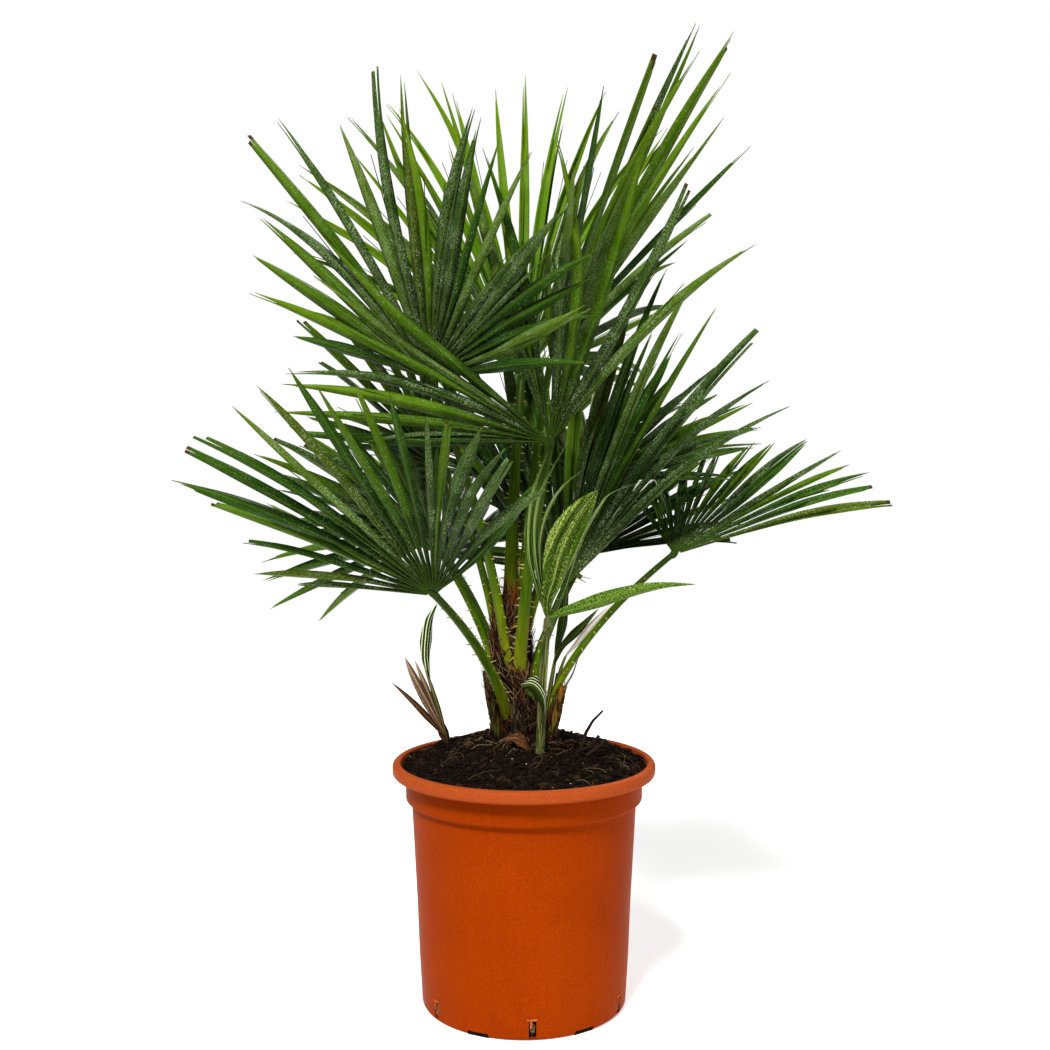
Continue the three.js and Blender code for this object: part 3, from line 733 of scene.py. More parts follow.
# The fans. The rule that sets out stalks and leaflets is the part's own, written again here,
# and each leaflet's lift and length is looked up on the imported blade.
FAN_VALUES = ("name", "seat", "hub", "bearing", "rise", "roll", "low", "high", "leaflets", "reach",
              "ends", "peak", "droop", "width", "seed", "looks")
FANS = [dict(zip(FAN_VALUES, row)) for row in [
    ("upper_left", (252, 300), (-80, -60, 562), 239, 84, -2, -75, 87, 22, 293,
     (0.54, 0.55), -35, 0.06, 11, 244, "dark"),
    ("top_centre", (100, 352), (-2, 60, 570), 106, 79, -2, -41, 56, 19, 341,
     (0.94, 0.77), 12, 0.03, 12, 900, "bright"),
    ("top_right", (10, 338), (24, 20, 581), 7, 60, -22, -94, 84, 20, 366,
     (0.78, 0.77), 5, 0.05, 12, 979, "sunlit"),
    ("front_left", (236, 262), (-73, -120, 384), 178, 32, 51, -38, 107, 19, 258,
     (0.51, 0.7), 6, 0.08, 10.5, 390, "trimmed"),
    ("right", (322, 284), (36, -20, 380), 27, 66, 29, -29, 102, 20, 433,
     (0.59, 0.96), 25, 0.12, 13, 979, "glossy"),
    ("lower_right", (352, 262), (134, -10, 409), 53, 41, 7, -57, 49, 18, 206,
     (0.96, 0.47), -51, 0.02, 9, 242, "shaded"),
    ("front_centre", (284, 296), (22, -90, 508), 277, 80, -9, -94, 39, 17, 290,
     (0.75, 0.91), 15, 0.05, 11.5, 244, "dark"),
    ("left", (165, 315), (-71, 10, 483), 151, 41, 55, -81, 90, 17, 218,
     (0.68, 0.77), 1, 0.05, 11, 244, "dark"),
    ("back_right", (42, 318), (62, 60, 470), 64, 43, 3, -80, 62, 17, 214,
     (0.7, 0.51), -1, 0.05, 11, 138, "dark"),
    ("back", (95, 300), (-10, 120, 470), 82, 41, 3, -96, 83, 18, 271,
     (0.62, 0.59), -10, 0.08, 12, 12, "plain"),
    ("back_left", (140, 284), (-75, 80, 400), 135, 46, 7, -97, 72, 17, 253,
     (0.91, 0.61), 9, 0.08, 12, 13, "plain"),
    ("low_back_right", (64, 276), (60, 95, 400), 64, 41, -1, -77, 78, 18, 255,
     (0.58, 0.63), 20, 0.08, 12, 596, "plain"),
    ("low_left", (196, 286), (-85, 20, 420), 193, 29, 43, -75, 69, 16, 188,
     (0.99, 0.73), -3, 0.08, 11, 244, "dark"),
]]
LIFT_STEPS = (0, 4, -4, 8, -8, 12, -12, 16, -16)
LENGTH_STEPS = (1, 0.8, 0.62)
ROOT_SHARE = 0.42
LEAST_THICKNESS = 2.4
REACH_PER_THICKNESS = 95
FOUND_WITHIN = 0.05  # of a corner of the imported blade, in mm


def seeded_numbers(seed):
    """The part's own row of numbers from 0 to 1."""
    state = seed
    while True:
        state = (state * 1664525 + 1013904223) % 4294967296
        yield state / 4294967296


def blade_axes(fan):
    """Along the middle leaflet, across the blade, and the blade's upper side."""
    bearing, rise, roll = (math.radians(fan[key]) for key in ("bearing", "rise", "roll"))
    along = Vector((math.cos(rise) * math.cos(bearing), math.cos(rise) * math.sin(bearing),
                    math.sin(rise)))
    level = Vector((-math.sin(bearing), math.cos(bearing), 0))
    upper = along.cross(level)
    across = level * math.cos(roll) + upper * math.sin(roll)
    normal = upper * math.cos(roll) - level * math.sin(roll)
    return along, across, normal


def fan_step(fan):
    """Angle in radians between one leaflet and the next."""
    return math.radians((fan["high"] - fan["low"]) / fan["leaflets"])


def root_radius(fan, length):
    """Distance in mm from the knuckle up to which a leaflet is joined to its neighbours."""
    return min(fan["width"] / (2 * math.tan(fan_step(fan) / 2)), ROOT_SHARE * length)


def on_leaflet(fan, leaflet, axes, radius, height):
    """A place in metres on a leaflet: radius along its middle, height over it, both in mm."""
    along, across, normal = axes
    turn = math.radians(leaflet["angle"])
    run = along * math.cos(turn) + across * math.sin(turn)
    beyond = max(radius - root_radius(fan, leaflet["length"]) - 1, 0)
    lifted = height + beyond * math.tan(math.radians(leaflet["lift"]))
    place = Vector(fan["hub"]) + run * radius + normal * lifted
    place.z -= fan["droop"] * (radius * radius) / fan["reach"]
    return place * MM


def leaflets_of(fan):
    """Angle, length and lift of every leaflet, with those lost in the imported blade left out."""
    draw = seeded_numbers(fan["seed"])
    low, high, peak = fan["low"], fan["high"], fan["peak"]
    step = (high - low) / fan["leaflets"]
    leaflets = []
    for i in range(fan["leaflets"]):
        angle = low + step * (i + 0.5 + (next(draw) - 0.5) * 0.5)
        to_end = (angle - peak) / (high - peak) if angle > peak else (peak - angle) / (peak - low)
        end = fan["ends"][1] if angle > peak else fan["ends"][0]
        length = fan["reach"] * (1 - (1 - end) * to_end ** 1.5) * (1 - next(draw) * 0.12)
        leaflets.append(dict(angle=angle, length=length, lift=(next(draw) - 0.5) * 10))
    angles = [leaflet["angle"] for leaflet in leaflets]
    before = [2 * low - angles[0]] + angles[:-1]
    after = angles[1:] + [2 * high - angles[-1]]
    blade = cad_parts["fan_" + fan["name"]].data.vertices
    tree = kdtree.KDTree(len(blade))
    for vertex in blade:
        tree.insert(vertex.co, vertex.index)
    tree.balance()
    axes = blade_axes(fan)
    half_thickness = max(LEAST_THICKNESS, fan["reach"] / REACH_PER_THICKNESS) / 2
    kept = []
    for i, leaflet in enumerate(leaflets):
        leaflet.update(low=(before[i] + angles[i]) / 2, high=(after[i] + angles[i]) / 2)
        tries = [dict(leaflet, length=leaflet["length"] * share, lift=leaflet["lift"] + change)
                 for share in LENGTH_STEPS for change in LIFT_STEPS]
        kept += [one for one in tries if tree.find(
            on_leaflet(fan, one, axes, one["length"], half_thickness))[2] < FOUND_WITHIN * MM][:1]
    return kept


# Each leaflet is a strip folded in a V along its midrib, joined to its neighbours in pleats
# near the knuckle and free beyond, where its end splits in two points or is worn off blunt.
LEAF_GLOSS = (0.5, (0.7, 1, 0.35), 1.18)
LEAF_SKINS = [  # name, deep, light and tip colours, where the pale grain and painted glints start, roughness
    ("deep_leaf", (0.004, 0.018, 0.002), (0.016, 0.06, 0.007), (0.045, 0.12, 0.006), 0.57, 0.28),
    ("mid_leaf", (0.014, 0.047, 0.0002), (0.056, 0.13, 0.0008), (0.1, 0.19, 0.001), 0.555, 0.28),
    ("light_leaf", (0.038, 0.1, 0.0004), (0.1, 0.205, 0.0014), (0.145, 0.24, 0.0016), 0.55, 0.3),
    ("bright_leaf", (0.06, 0.15, 0.0005), (0.14, 0.27, 0.002), (0.17, 0.29, 0.003), 0.555, 0.36),
    ("grainy_leaf", (0.009, 0.026, 0.004), (0.03, 0.066, 0.012), (0.045, 0.1, 0.008), 0.495, 0.36),
    ("olive_leaf", (0.016, 0.03, 0.0008), (0.056, 0.082, 0.002), (0.09, 0.135, 0.001), 0.525, 0.36),
    ("frosted_leaf", (0.026, 0.066, 0.002), (0.075, 0.145, 0.004), (0.12, 0.2, 0.004), 0.49, 0.36),
]
TIP_SKIN = 7
RIB_SKIN = 8
# The skin chances per fan also paint part of the light and shade on whole fans: lighter skins for
# lit fans, darker ones for fans in shade.
LOOKS = {  # chances of the leaf skins, start of the taper, blunt ends, slim leaflets, fullness
    "dark": ((3, 3, 1.6, 0.3, 3.6, 0.4, 1.6), 0.5, 0.05, 0.24, 0.92),
    "bright": ((0.3, 1.1, 4.2, 5, 0.3, 0.4, 1.2), 0.45, 0.02, 0.3, 0.92),
    "sunlit": ((2, 3.2, 2.4, 1, 2.4, 0.6, 4.2), 0.5, 0.08, 0.34, 0.88),
    "glossy": ((4, 4.5, 1.6, 0.3, 1.8, 2.2, 1), 0.5, 0.08, 0.3, 0.88),
    "trimmed": ((5, 4, 0.8, 0.1, 2.7, 1.2, 0.3), 0.7, 0.35, 0.18, 0.74),
    "shaded": ((7, 2.6, 0.4, 0, 3.4, 0.9, 0), 0.7, 0.35, 0.18, 0.74),
    "plain": ((3.5, 4.5, 1.2, 0.1, 1.4, 0.6, 0.6), 0.52, 0.12, 0.25, 0.84),
}
FOLD = math.radians(33)
JOINED_ROWS = 8
FREE_ROWS = 13
SPLIT_ROWS = 6
LEAF_ROWS = JOINED_ROWS + FREE_ROWS + SPLIT_ROWS
LEAF_THICKNESS = 0.5
JOINED_SHARE = 0.42
LEAFLET_START = 5
MOST_TWIST = 1.5  # radians
FREED_OVER = 0.12  # of the length, from the join to where the leaflet stands free
RUN_IN_UV = 0.98
SLIM_WIDTHS = (0.5, 0.75)
FULL_WIDTHS = (0.72, 1.14)
SPLIT_SHARES = (0.7, 0.82, 0.9, 0.95, 0.96, 0.97)  # of the length, where the end splits
DRY_SHARES = (0.97, 0.985, 0.99)  # of the length, where the dry tip starts
MIDRIB_SHARE = 0.72
MIDRIB_KNOTS = 9


def strip_place(tree):
    """Place on a leaflet or stalk, across it and along it."""
    return add_node(tree, "UVMap", {}, uv_map="strip")


def leaf_material(name, deep, light, tip, specks_from, roughness):
    """A leaf skin: fine veins, greyer at the knuckle with painted shade there too, and warmer at the
    tip, under pale grain and a pale fold line that are partly painted highlights.
    """
    material, tree, sockets = new_material(name, deep, roughness, *LEAF_GLOSS)
    strip = strip_place(tree)
    place = object_place(tree)
    veins = noise_over(tree, strip, (1.9, 5, 1), 3, flat=True)
    patches = noise_over(tree, place, 46, 4)
    both = add_node(tree, "Math", {0: veins, 1: patches}, operation="ADD")
    halved = add_node(tree, "Math", {0: both, 1: 0.5}, operation="MULTIPLY")
    tone = tones(tree, halved, [(0.38, deep), (0.62, light)])
    run = add_node(tree, "Math", {0: axis_of(tree, strip, "Y")}, operation="FRACT")
    warmed = mixed(tree, spread(tree, run, 0.35, 0.95, 0, 0.85), tone, tip)
    # Greyer and darker near the knuckle: partly the leaf's grey colour, partly painted shade where
    # the leaflets crowd.
    knuckle_grey_and_shade = mixed(tree, spread(tree, run, 0.05, 0.42, 0.9, 0), warmed, (0.018, 0.026, 0.006))
    # Pale specks: partly the leaf's mealy bloom, partly painted glints of light.
    grain = noise_over(tree, place, 860, 3, 0.6)
    specks = spread(tree, grain, specks_from, specks_from + 0.09)
    clusters = spread(tree, patches, 0.36, 0.62, 0.25, 1)
    strewn = add_node(tree, "Math", {0: specks, 1: clusters}, operation="MULTIPLY")
    bloom_and_glint_specks = mixed(tree, strewn, knuckle_grey_and_shade, (0.24, 0.3, 0.17))
    # A pale line along the fold: partly the midrib's own colour, partly a painted highlight along
    # the crease.
    from_fold = add_node(tree, "Math", {0: axis_of(tree, strip, "X")}, operation="ABSOLUTE")
    on_fold = spread(tree, from_fold, 0.15, 0.7, 0.5, 0)
    feed(sockets, {"Base Color": mixed(tree, on_fold, bloom_and_glint_specks, (0.12, 0.19, 0.012)),
                   "Normal": bumps(tree, veins, 0.4, 0.0005)})
    return material


def leaf_half(bm, hand, columns, rows, point_at, skin_at):
    """Adds half a leaflet as a grid; point_at gives place and place in UV, skin_at the skin."""
    uv_layer = bm.loops.layers.uv["strip"]
    grid = bmesh.ops.create_grid(bm, x_segments=columns, y_segments=rows, size=1)["verts"]
    strip = {}
    for vertex in grid:
        vertex.co, strip[vertex] = point_at((vertex.co.x + 1) / 2, (vertex.co.y + 1) / 2)
    for face in {face for vertex in grid for face in vertex.link_faces}:
        for loop in face.loops:
            loop[uv_layer].uv = strip[loop.vert]
        face.material_index = skin_at(min(strip[vertex][1] for vertex in face.verts))
        if hand < 0:
            face.normal_flip()


def with_slim_ones(fan, leaflets, chance, slim_share):
    """The leaflets, with a narrower one set on the ridge between some neighbours."""
    step = (fan["high"] - fan["low"]) / fan["leaflets"]
    finer = [dict(leaflet, slim=False) for leaflet in leaflets]
    for first, second in zip(leaflets, leaflets[1:]):
        if second["angle"] - first["angle"] < 1.8 * step and chance.random() < slim_share:
            middle = (first["angle"] + second["angle"]) / 2 + chance.uniform(-0.2, 0.2) * step
            finer.append(dict(
                angle=middle, low=middle - step / 4, high=middle + step / 4, slim=True,
                length=min(first["length"], second["length"]) * chance.uniform(0.72, 0.98),
                lift=(first["lift"] + second["lift"]) / 2 + chance.uniform(-8, 8)))
    return finer


def add_leaflet(bm, fan, leaflet, axes, joined, chance, skin, taper_from, blunt_share, fullness):
    """Adds one leaflet as two long grids, either side of its midrib."""
    length = leaflet["length"]
    slim = leaflet["slim"]
    width = fan["width"] * chance.uniform(*(SLIM_WIDTHS if slim else FULL_WIDTHS))
    twist = max(-MOST_TWIST, min(MOST_TWIST, chance.gauss(0, 0.6)))
    sweep = chance.gauss(0, 0.1) * length
    tip_sag = chance.uniform(-0.02, 0.16) * length
    split_at = chance.choice(SPLIT_SHARES) * length
    spread_apart = chance.uniform(0.05, 0.22) * width * min(1, 6 * (1 - split_at / length))
    blunt = 0.5 if chance.random() < blunt_share else 0
    dry_from = 0.98 if blunt else chance.choice(DRY_SHARES)
    reaches = [length, max(length * chance.uniform(0.95, 1), split_at + 0.01 * length)]
    chance.shuffle(reaches)
    uv_start = chance.randrange(400)
    along, across, _ = axes
    turn = math.radians(leaflet["angle"])
    side_way = across * math.cos(turn) - along * math.sin(turn)
    step = fan_step(fan)
    start = 0.8 * joined if slim else LEAFLET_START
    at_join = joined * math.tan(step / 2) * math.tan(FOLD)
    for hand, reach in zip((-1, 1), reaches):
        bound = math.radians(abs(leaflet["high" if hand > 0 else "low"] - leaflet["angle"]))
        bound = min(bound, 1.6 * step)

        def point_at(outer, share):
            """Place of a point and its place in UV, from the midrib to the edge and along."""
            row = round(share * LEAF_ROWS)
            if row <= JOINED_ROWS:
                radius = start + (joined - start) * row / JOINED_ROWS
            elif row <= JOINED_ROWS + FREE_ROWS:
                radius = joined + (split_at - joined) * (row - JOINED_ROWS) / FREE_ROWS
            else:
                radius = split_at + (reach - split_at) * (row - LEAF_ROWS + SPLIT_ROWS) / SPLIT_ROWS
            run = radius / reach if radius > split_at else radius / length
            half = radius * math.tan(bound)
            fold_depth = radius * math.tan(step / 2) * math.tan(FOLD)
            edge_height = 0.5 * half * math.tan(FOLD)
            mid_height = -0.5 * fold_depth
            if slim:
                edge_height += fold_depth * 0.6
                mid_height = edge_height - 0.4
            if radius > joined:
                free = smooth_share(radius, joined, joined + FREED_OVER * length)
                taper = 1 - max(0, (run - taper_from) / (1 - taper_from)) ** 1.9 * (1 - blunt)
                full = min(fullness * half, width / 2)
                half = (half * (1 - free) + full * free) * (1 - free * (1 - taper))
                free_depth = half * math.tan(FOLD * 1.25)
                mid_height = -0.5 * (at_join * (1 - free) + free_depth * free)
                edge_height = -mid_height
                if slim:
                    mid_height += 1.1 * at_join * (1 - free)
            split = 0
            if radius > split_at:
                split = hand * spread_apart * ((radius - split_at) / (length - split_at)) ** 1.2
            offset = split + hand * half * outer
            height = mid_height + (edge_height - mid_height) * outer
            twisted = twist * smooth_share(radius, joined, length)
            x = offset * math.cos(twisted) - height * math.sin(twisted)
            z = height * math.cos(twisted) + offset * math.sin(twisted)
            x += sweep * max(radius / length - 0.25, 0) ** 2
            place = on_leaflet(fan, leaflet, axes, radius, z) + side_way * x * MM
            place.z -= tip_sag * max(radius / length - 0.5, 0) ** 2 * MM
            return place, (hand * outer * max(half, 0.1), uv_start + RUN_IN_UV * run)

        leaf_half(bm, hand, 2, LEAF_ROWS, point_at,
                  lambda nearest: TIP_SKIN if nearest > uv_start + RUN_IN_UV * dry_from else skin)


def midrib(fan, leaflet, axes, joined):
    """A slim ridge under the fold, from the knuckle to most of the way along."""
    points = []
    for i in range(MIDRIB_KNOTS):
        radius = 6 + (MIDRIB_SHARE * leaflet["length"] - 6) * i / (MIDRIB_KNOTS - 1)
        depth = min(radius, joined) * math.tan(fan_step(fan) / 2) * math.tan(FOLD) * 0.5 + 0.35
        points.append(on_leaflet(fan, leaflet, axes, radius, -depth))
    radii = [(0.95 - 0.65 * i / (MIDRIB_KNOTS - 1)) * MM for i in range(MIDRIB_KNOTS)]
    return points, radii, RIB_SKIN


leaf_materials = [leaf_material(*skin) for skin in LEAF_SKINS]
leaf_materials += [new_material("dry_tip", (0.075, 0.05, 0.014), 0.7, 0.1)[0],
                   new_material("midrib", (0.035, 0.065, 0.006), 0.5, 0.15)[0]]
for fan in FANS:
    weights, taper_from, blunt_share, slim_share, fullness = LOOKS[fan["looks"]]
    axes = blade_axes(fan)
    chance = random.Random(fan["name"])
    leaflets = leaflets_of(fan)
    joined = min(root_radius(fan, leaflet["length"]) for leaflet in leaflets) * JOINED_SHARE
    bm = bmesh.new()
    bm.loops.layers.uv.new("strip")
    for leaflet in with_slim_ones(fan, leaflets, chance, slim_share):
        skin = chance.choices(range(len(weights)), weights)[0]
        add_leaflet(bm, fan, leaflet, axes, joined, chance, skin, taper_from, blunt_share, fullness)
    bmesh.ops.remove_doubles(bm, verts=bm.verts, dist=0.02 * MM)
    bmesh.ops.recalc_face_normals(bm, faces=bm.faces)
    bmesh.ops.solidify(bm, geom=bm.faces[:], thickness=LEAF_THICKNESS * MM)
    bm.from_mesh(strands_mesh([midrib(fan, leaflet, axes, joined) for leaflet in leaflets]))
    piece = finish_piece("leaflets_" + fan["name"], bm, leaf_materials)
    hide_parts("fan_" + fan["name"])
    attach(piece, "root")


# The leaf stalks: stiff, flattened, yellow-green at the foot where they clasp the trunk, with
# a row of short pale spines along each edge and a knuckle at the tip that carries the fan.
YOUNG = dict(name="young", foot=(14, -46, 234), hub=(19, -130, 365), bearing=300, rise=75, roll=0)
STALK_WIDTHS = (13, 8)  # at its foot and at its tip
YOUNG_STALK_WIDTHS = (8, 6)
STALK_FLATNESS = 0.62
KNUCKLE = (6.4, 3.8, 2.6)
YOUNG_KNUCKLE = 0.62
SPINE_PITCH = 11
SPINE_RADII = (0.75, 0.45, 0.08)
YOUNG_GLOSS = (0.4, (0.7, 1, 0.35), 1.18)


def stalk_curve(fan):
    """Foot, bend and hub of a fan's stalk, in metres."""
    if fan is YOUNG:
        start = Vector(fan["foot"])
    else:
        bearing, height = fan["seat"]
        radius = trunk_radius(height) - 8
        turn = math.radians(bearing)
        start = Vector((radius * math.cos(turn) + lean_at(height), radius * math.sin(turn),
                        height - 8))
    hub = Vector(fan["hub"])
    bend = start.lerp(hub, 0.2)
    bend.z = start.z + 0.5 * (hub.z - start.z)
    return start * MM, bend * MM, hub * MM


stalk_material, tree, sockets = new_material(
    "stalk_skin", (0.1, 0.19, 0.01), 0.4, 0.3, (0.9, 1, 0.5))
strip = strip_place(tree)
shade = tones(tree, axis_of(tree, strip, "Y"), [
    (0, (0.26, 0.27, 0.006)), (0.35, (0.085, 0.16, 0.003)), (1, (0.03, 0.062, 0.006))])
streaks = noise_over(tree, strip, (30, 6, 1), 4, flat=True)
streak_tone = tones(tree, streaks, [(0.3, (0.35, 0.35, 0.3)), (0.65, (1, 1, 1))])
feed(sockets, {"Base Color": mixed(tree, 0.75, shade, streak_tone, "MULTIPLY")})

young_stalk_material, tree, sockets = new_material(
    "young_stalk_skin", (0.06, 0.09, 0.02), 0.45, *YOUNG_GLOSS)
streaks = noise_over(tree, strip_place(tree), (22, 3, 1), 4, flat=True)
feed(sockets, {"Base Color": tones(tree, streaks, [(0.38, (0.028, 0.055, 0.003)),
                                                   (0.7, (0.32, 0.31, 0.13))])})
spine_material = new_material("spine", (0.42, 0.36, 0.1), 0.5, 0.3)[0]

for fan in FANS + [YOUNG]:
    start, bend, hub = stalk_curve(fan)
    foot, tip = YOUNG_STALK_WIDTHS if fan is YOUNG else STALK_WIDTHS
    run = hub - start
    side = Vector((-run.y, run.x, 0)).normalized()
    chance = random.Random(fan["name"])

    def curve(share):
        """Middle of the stalk."""
        return bezier(start, bend, hub, share)

    def width_at(share):
        """Width of the stalk, which widens at the foot where it clasps the trunk."""
        clasp = 0 if fan is YOUNG else 5 * max(0, 1 - share / 0.16) ** 1.5
        return (foot + (tip - foot) * share + clasp) * MM

    def thickness_at(share):
        """Thickness of the stalk."""
        return (foot + (tip - foot) * share) * STALK_FLATNESS * MM

    bm = bmesh.new()
    uv_layer = bm.loops.layers.uv.new("strip")
    bent_bar(bm, curve, side, width_at, thickness_at, 36, 14)
    for face in bm.faces:
        for loop in face.loops:
            offset = loop.vert.co - start
            share = min(max(offset.dot(run) / run.length_squared, 0), 1)
            here = loop.vert.co - curve(share)
            loop[uv_layer].uv = (math.atan2(here.z, here.dot(side)) / math.tau, share)
    knuckle = bmesh.ops.create_uvsphere(bm, u_segments=14, v_segments=10, radius=1)["verts"]
    turn = Matrix(blade_axes(fan)).transposed().to_4x4()
    knuckle_size = YOUNG_KNUCKLE if fan is YOUNG else 1
    size = Matrix.Diagonal((*[side_length * MM for side_length in KNUCKLE],
                            1 / knuckle_size)) * knuckle_size
    bmesh.ops.transform(bm, verts=knuckle, matrix=Matrix.Translation(hub) @ turn @ size)
    for face in {face for vertex in knuckle for face in vertex.link_faces}:
        for loop in face.loops:
            loop[uv_layer].uv = (0, 1)
    spines = 0 if fan is YOUNG else int(run.length / (SPINE_PITCH * MM))
    strands = []
    for i in range(spines):
        for hand in (-1, 1):
            share = 0.12 + 0.82 * (i + chance.uniform(0.1, 0.9)) / spines
            ahead = (curve(min(share + 0.01, 1)) - curve(share - 0.01)).normalized()
            base = curve(share) + side * hand * (width_at(share) / 2 - 0.4 * MM)
            size = chance.uniform(3, 8) * MM * (1 - 0.5 * share)
            lean = chance.uniform(-0.9, 0.7)
            outward = (side * hand + ahead.cross(side) * chance.gauss(0, 0.5)).normalized()
            strands.append(([base, base + outward * size * 0.55 + ahead * lean * size * 0.2,
                             base + outward * size + ahead * lean * size * 0.6],
                            [radius * MM for radius in SPINE_RADII], 1))
    if strands:
        bm.from_mesh(strands_mesh(strands))
    skin = young_stalk_material if fan is YOUNG else stalk_material
    piece = finish_piece("stalk_of_" + fan["name"], bm, [skin, spine_material])
    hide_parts("stalk_" + fan["name"])
    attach(piece, "root")


# The young shoot: one broad new blade, still folded in pleats and flecked with cream, with
# narrow leaflets beside and behind it and one wider one that leans out to the right. A small
# striped leaf curls over at its foot.
SHOOT = (19, -130, 365)
YOUNG_BLADE = [SHOOT, (19, -136, 381), (24, -140, 398), (28, -144, 414), (34, -146, 430),
               (42, -148, 446), (51, -150, 460), (58, -151, 469)]
YOUNG_SLIM = [  # points, width
    ([SHOOT, (10, -134, 393), (5, -137, 413), (4, -139, 430), (5, -141, 450), (9, -143, 472),
      (19, -146, 500)], 7),
    ([SHOOT, (14, -133, 389), (10, -136, 413), (9, -138, 430), (10, -140, 450), (17, -142, 475),
      (36, -145, 510)], 6),
    ([SHOOT, (15, -131, 389), (13, -133, 413), (14, -136, 433), (20, -139, 454), (31, -142, 472),
      (45, -145, 484)], 5),
    ([(21, -127, 369), (31, -129, 385), (37, -131, 401), (43, -133, 420), (50, -135, 437),
      (60, -137, 455), (70, -139, 467), (95, -141, 476)], 4),
]
BEHIND_SHOOT = [  # points, width, skin
    ([(26, -58, 316), (33, -62, 332), (43, -66, 343), (52, -68, 353), (63, -70, 366)], 9, 2),
    ([(35, -56, 323), (44, -60, 333), (54, -64, 346), (65, -67, 359), (76, -70, 371)], 7, 3),
    ([(34, -42, 286), (38, -44, 298), (43, -46, 308), (50, -52, 332)], 1.6, 2),
    ([(27, -57, 318), (30, -56, 334), (34, -56, 350), (36, -57, 368), (38, -58, 384)], 10, 2),
    ([(16, -42, 240), (19, -46, 270), (23, -52, 294), (27, -57, 320), (29, -58, 330)], 4.5, 4),
    ([(21, -48, 282), (27, -53, 299), (31, -55, 309), (36, -56, 323), (40, -58, 329)], 3.2, 4),
]
SIDE_LEAFLET = [SHOOT, (31, -131, 370), (47, -133, 375), (63, -134, 380), (78, -135, 385),
                (97, -136, 390), (115, -137, 393), (136, -138, 394)]
CURLED_LEAF = [(9, -64, 240), (13, -68, 261), (17, -74, 276), (17, -81, 289), (12, -85, 300),
               (5, -87, 305), (-3, -86, 304)]
SHADED_SKIN = 2
SINGLE_ROWS = 34
LINE_SPACING = 2.6


def striped_material(name, green, cream, stripes, broken):
    """Young leaf with cream stripes along it, which flecks break up by the share broken."""
    material, tree, sockets = new_material(name, green, 0.4, *YOUNG_GLOSS)
    strip = strip_place(tree)
    lines = noise_over(tree, strip, (stripes, 0.008, 1), 2, flat=True)
    flecks = noise_over(tree, strip, (2.4, 0.5, 1), 2, flat=True)
    both = add_node(tree, "Mix", {"Factor": broken, "A": lines, "B": flecks}, "Result")
    feed(sockets, {"Base Color": tones(tree, both, [(0.51, green), (0.62, cream)])})
    return material


def curve_through(points, share):
    """Point at a share of the run of a smooth curve through the points."""
    spans = len(points) - 1
    i = min(int(share * spans), spans - 1)
    t = share * spans - i
    p0, p1 = points[max(i - 1, 0)], points[i]
    p2, p3 = points[i + 1], points[min(i + 2, spans)]
    return 0.5 * (2 * p1 + (p2 - p0) * t + (2 * p0 - 5 * p1 + 4 * p2 - p3) * t * t
                  + (3 * p1 - p0 - 3 * p2 + p3) * t ** 3)


def single_leaflet(bm, points, side, width, fold, skins=(0, 0), belly=0.35, swell=0.7, pleats=1):
    """One leaflet through the given points, folded along its middle or in pleats; a skin a half."""
    points = [Vector(point) * MM for point in points]
    length = sum((b - a).length for a, b in zip(points, points[1:])) / MM
    for hand in (-1, 1):

        def point_at(outer, share):
            """Place of a point and its place in UV, from the middle to the edge and along."""
            ahead = (curve_through(points, min(share + 0.01, 1))
                     - curve_through(points, max(share - 0.01, 0)))
            upper = ahead.cross(side).normalized()
            across = upper.cross(ahead).normalized()
            rise = min(share / belly, 1) ** swell
            fall = 1 - max(0, (share - belly) / (1 - belly)) ** 1.6
            half = width / 2 * max(rise * fall, 0.04)
            pleat = 1 - abs(1 - outer * pleats % 2)
            place = (curve_through(points, share) + across * hand * half * outer * MM
                     + upper * pleat * half / pleats * math.tan(fold) * MM)
            return place, (hand * outer * half, share * length)

        leaf_half(bm, hand, 4 * pleats, SINGLE_ROWS, point_at, lambda nearest: skins[hand > 0])


def leaf_piece(name, leaflets, materials):
    """A piece made of single leaflets, each given by the values that single_leaflet takes."""
    bm = bmesh.new()
    bm.loops.layers.uv.new("strip")
    for leaflet in leaflets:
        single_leaflet(bm, *leaflet)
    bmesh.ops.remove_doubles(bm, verts=bm.verts, dist=0.02 * MM)
    bmesh.ops.solidify(bm, geom=bm.faces[:], thickness=LEAF_THICKNESS * MM)
    return finish_piece(name, bm, materials)


shoot_skins = [striped_material(*finish) for finish in (
    ("flecked_leaf", (0.035, 0.08, 0.0015), (0.36, 0.42, 0.12), 0.45, 0.6),
    ("striped_leaf", (0.03, 0.075, 0.004), (0.3, 0.36, 0.13), 1.1, 0.15),
    ("shaded_leaf", (0.008, 0.018, 0.0005), (0.07, 0.1, 0.02), 0.8, 0.15),
    ("papery_leaf", (0.4, 0.36, 0.29), (0.72, 0.66, 0.58), 0.5, 0.2),
    ("shoot_stem", (0.04, 0.05, 0.004), (0.2, 0.19, 0.05), 0.9, 0.3))]
shoot = [(YOUNG_BLADE, Vector((1, 0.3, -0.2)), 30, 0.75, (0, 0), 0.55, 0.75, 3)]
shoot += [(points, Vector((1, 0.5, 0)), width, 0.5, (1, 1), 0.45) for points, width in YOUNG_SLIM]
shoot += [(points, Vector((0.7, 0.5, -0.6)), width, 0.4, (skin, skin), 0.5)
          for points, width, skin in BEHIND_SHOOT]
young_leaves = leaf_piece("young_leaves", shoot, shoot_skins)
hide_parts("fan_young")
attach(young_leaves, "root")

side_skin = striped_material("side_leaf", (0.035, 0.105, 0.002), (0.34, 0.44, 0.1), 0.35, 0.75)
side_leaflet = leaf_piece(
    "side_leaflet", [(SIDE_LEAFLET, Vector((0, 0.5, -0.8)), 15, 0.3, (0, 0), 0.4, 0.6)],
    [side_skin])
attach(side_leaflet, "root")

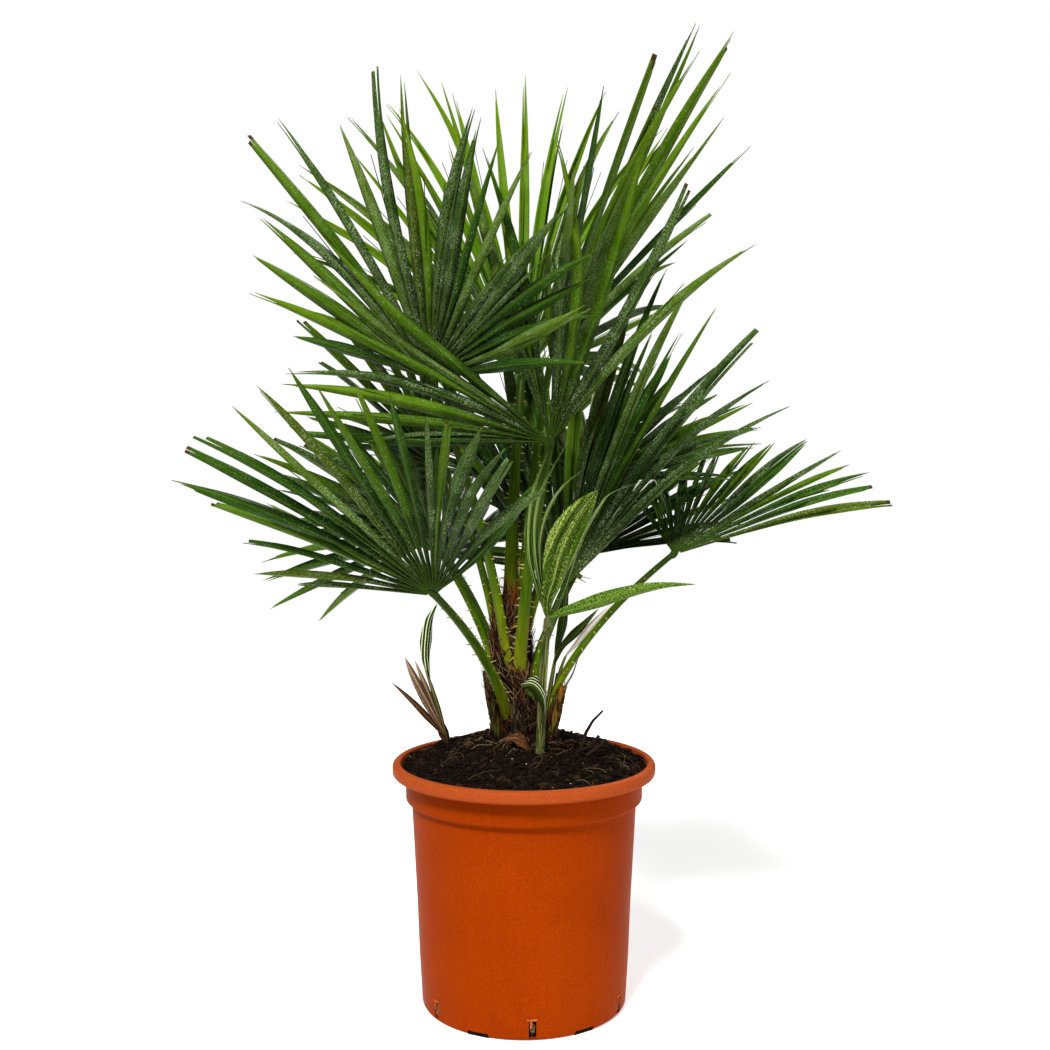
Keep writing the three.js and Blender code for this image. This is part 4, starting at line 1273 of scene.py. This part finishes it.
lined_skin, tree, sockets = new_material("lined_leaf", (0.022, 0.045, 0.002), 0.4, *YOUNG_GLOSS)
waves = {"Vector": strip_place(tree), "Scale": 0.314 / LINE_SPACING, "Distortion": 0.6,
         "Detail Scale": 0.05}
lines = add_node(tree, "TexWave", waves, "Fac", bands_direction="X")
feed(sockets, {"Base Color": tones(tree, lines, [(0.66, (0.022, 0.045, 0.002)),
                                                 (0.84, (0.7, 0.74, 0.48))])})
curled_leaf = leaf_piece(
    "curled_young_leaf", [(CURLED_LEAF, Vector((0.6, 0.4, 0.6)), 20, 0.5, (1, 0), 0.72, 2.6)],
    [lined_skin, shoot_skins[SHADED_SKIN]])
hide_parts("curled_leaf")
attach(curled_leaf, "root")


# The sucker at the left: a dry side shoot with shrivelled leaflets and one striped green one,
# and the rusty scale of an old leaf that stands at the front of the trunk's foot.
DRY_LEAFLETS = [  # points, width, skin
    ([(-70, 15, 236), (-97, 8, 268), (-119, 2, 290)], 6, 1),
    ([(-72, 14, 240), (-94, 2, 286), (-107, -4, 314)], 9, 0),
    ([(-72, 14, 240), (-88, 8, 283), (-99, 8, 309)], 6, 0),
    ([(-68, 16, 228), (-74, 13, 246), (-82, 10, 264)], 10, 1),
    ([(-69, 16, 230), (-80, 10, 273), (-91, 6, 306)], 5, 2),
]
GREEN_LEAFLET = [(-86, 8, 292), (-89, 6, 312), (-88, 2, 330), (-85, -3, 348), (-78, -8, 363)]
FOOT_SCALE = [(6, -45, 238), (0, -47, 247), (-8, -47, 251), (-17, -44, 248)]
RUSTY_SKIN = 1

dry_skins = [striped_material(*finish) for finish in (
    ("dry_leaf", (0.2, 0.11, 0.06), (0.52, 0.38, 0.25), 0.5, 0.3),
    ("rusty_leaf", (0.07, 0.026, 0.01), (0.27, 0.13, 0.06), 0.4, 0.6),
    ("straw_leaf", (0.1, 0.11, 0.02), (0.3, 0.27, 0.1), 0.6, 0.3))]
shoot = [(points, Vector((1, 0.4, 0.5)), width, 0.8, (skin, skin))
         for points, width, skin in DRY_LEAFLETS]
shoot += [(GREEN_LEAFLET, Vector((1, 0.3, 0)), 11, 0.5, (3, 3), 0.45)]
sucker = leaf_piece("dry_sucker", shoot, dry_skins + [lined_skin])
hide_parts("sucker")
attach(sucker, "root")

foot_scale = leaf_piece(
    "foot_scale", [(FOOT_SCALE, Vector((0, 0.5, 1)), 12, 0.3, (0, 0), 0.4)], [dry_skins[RUSTY_SKIN]])
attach(foot_scale, "root")


# The box round everything shown, leaving out the floor.
low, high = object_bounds()
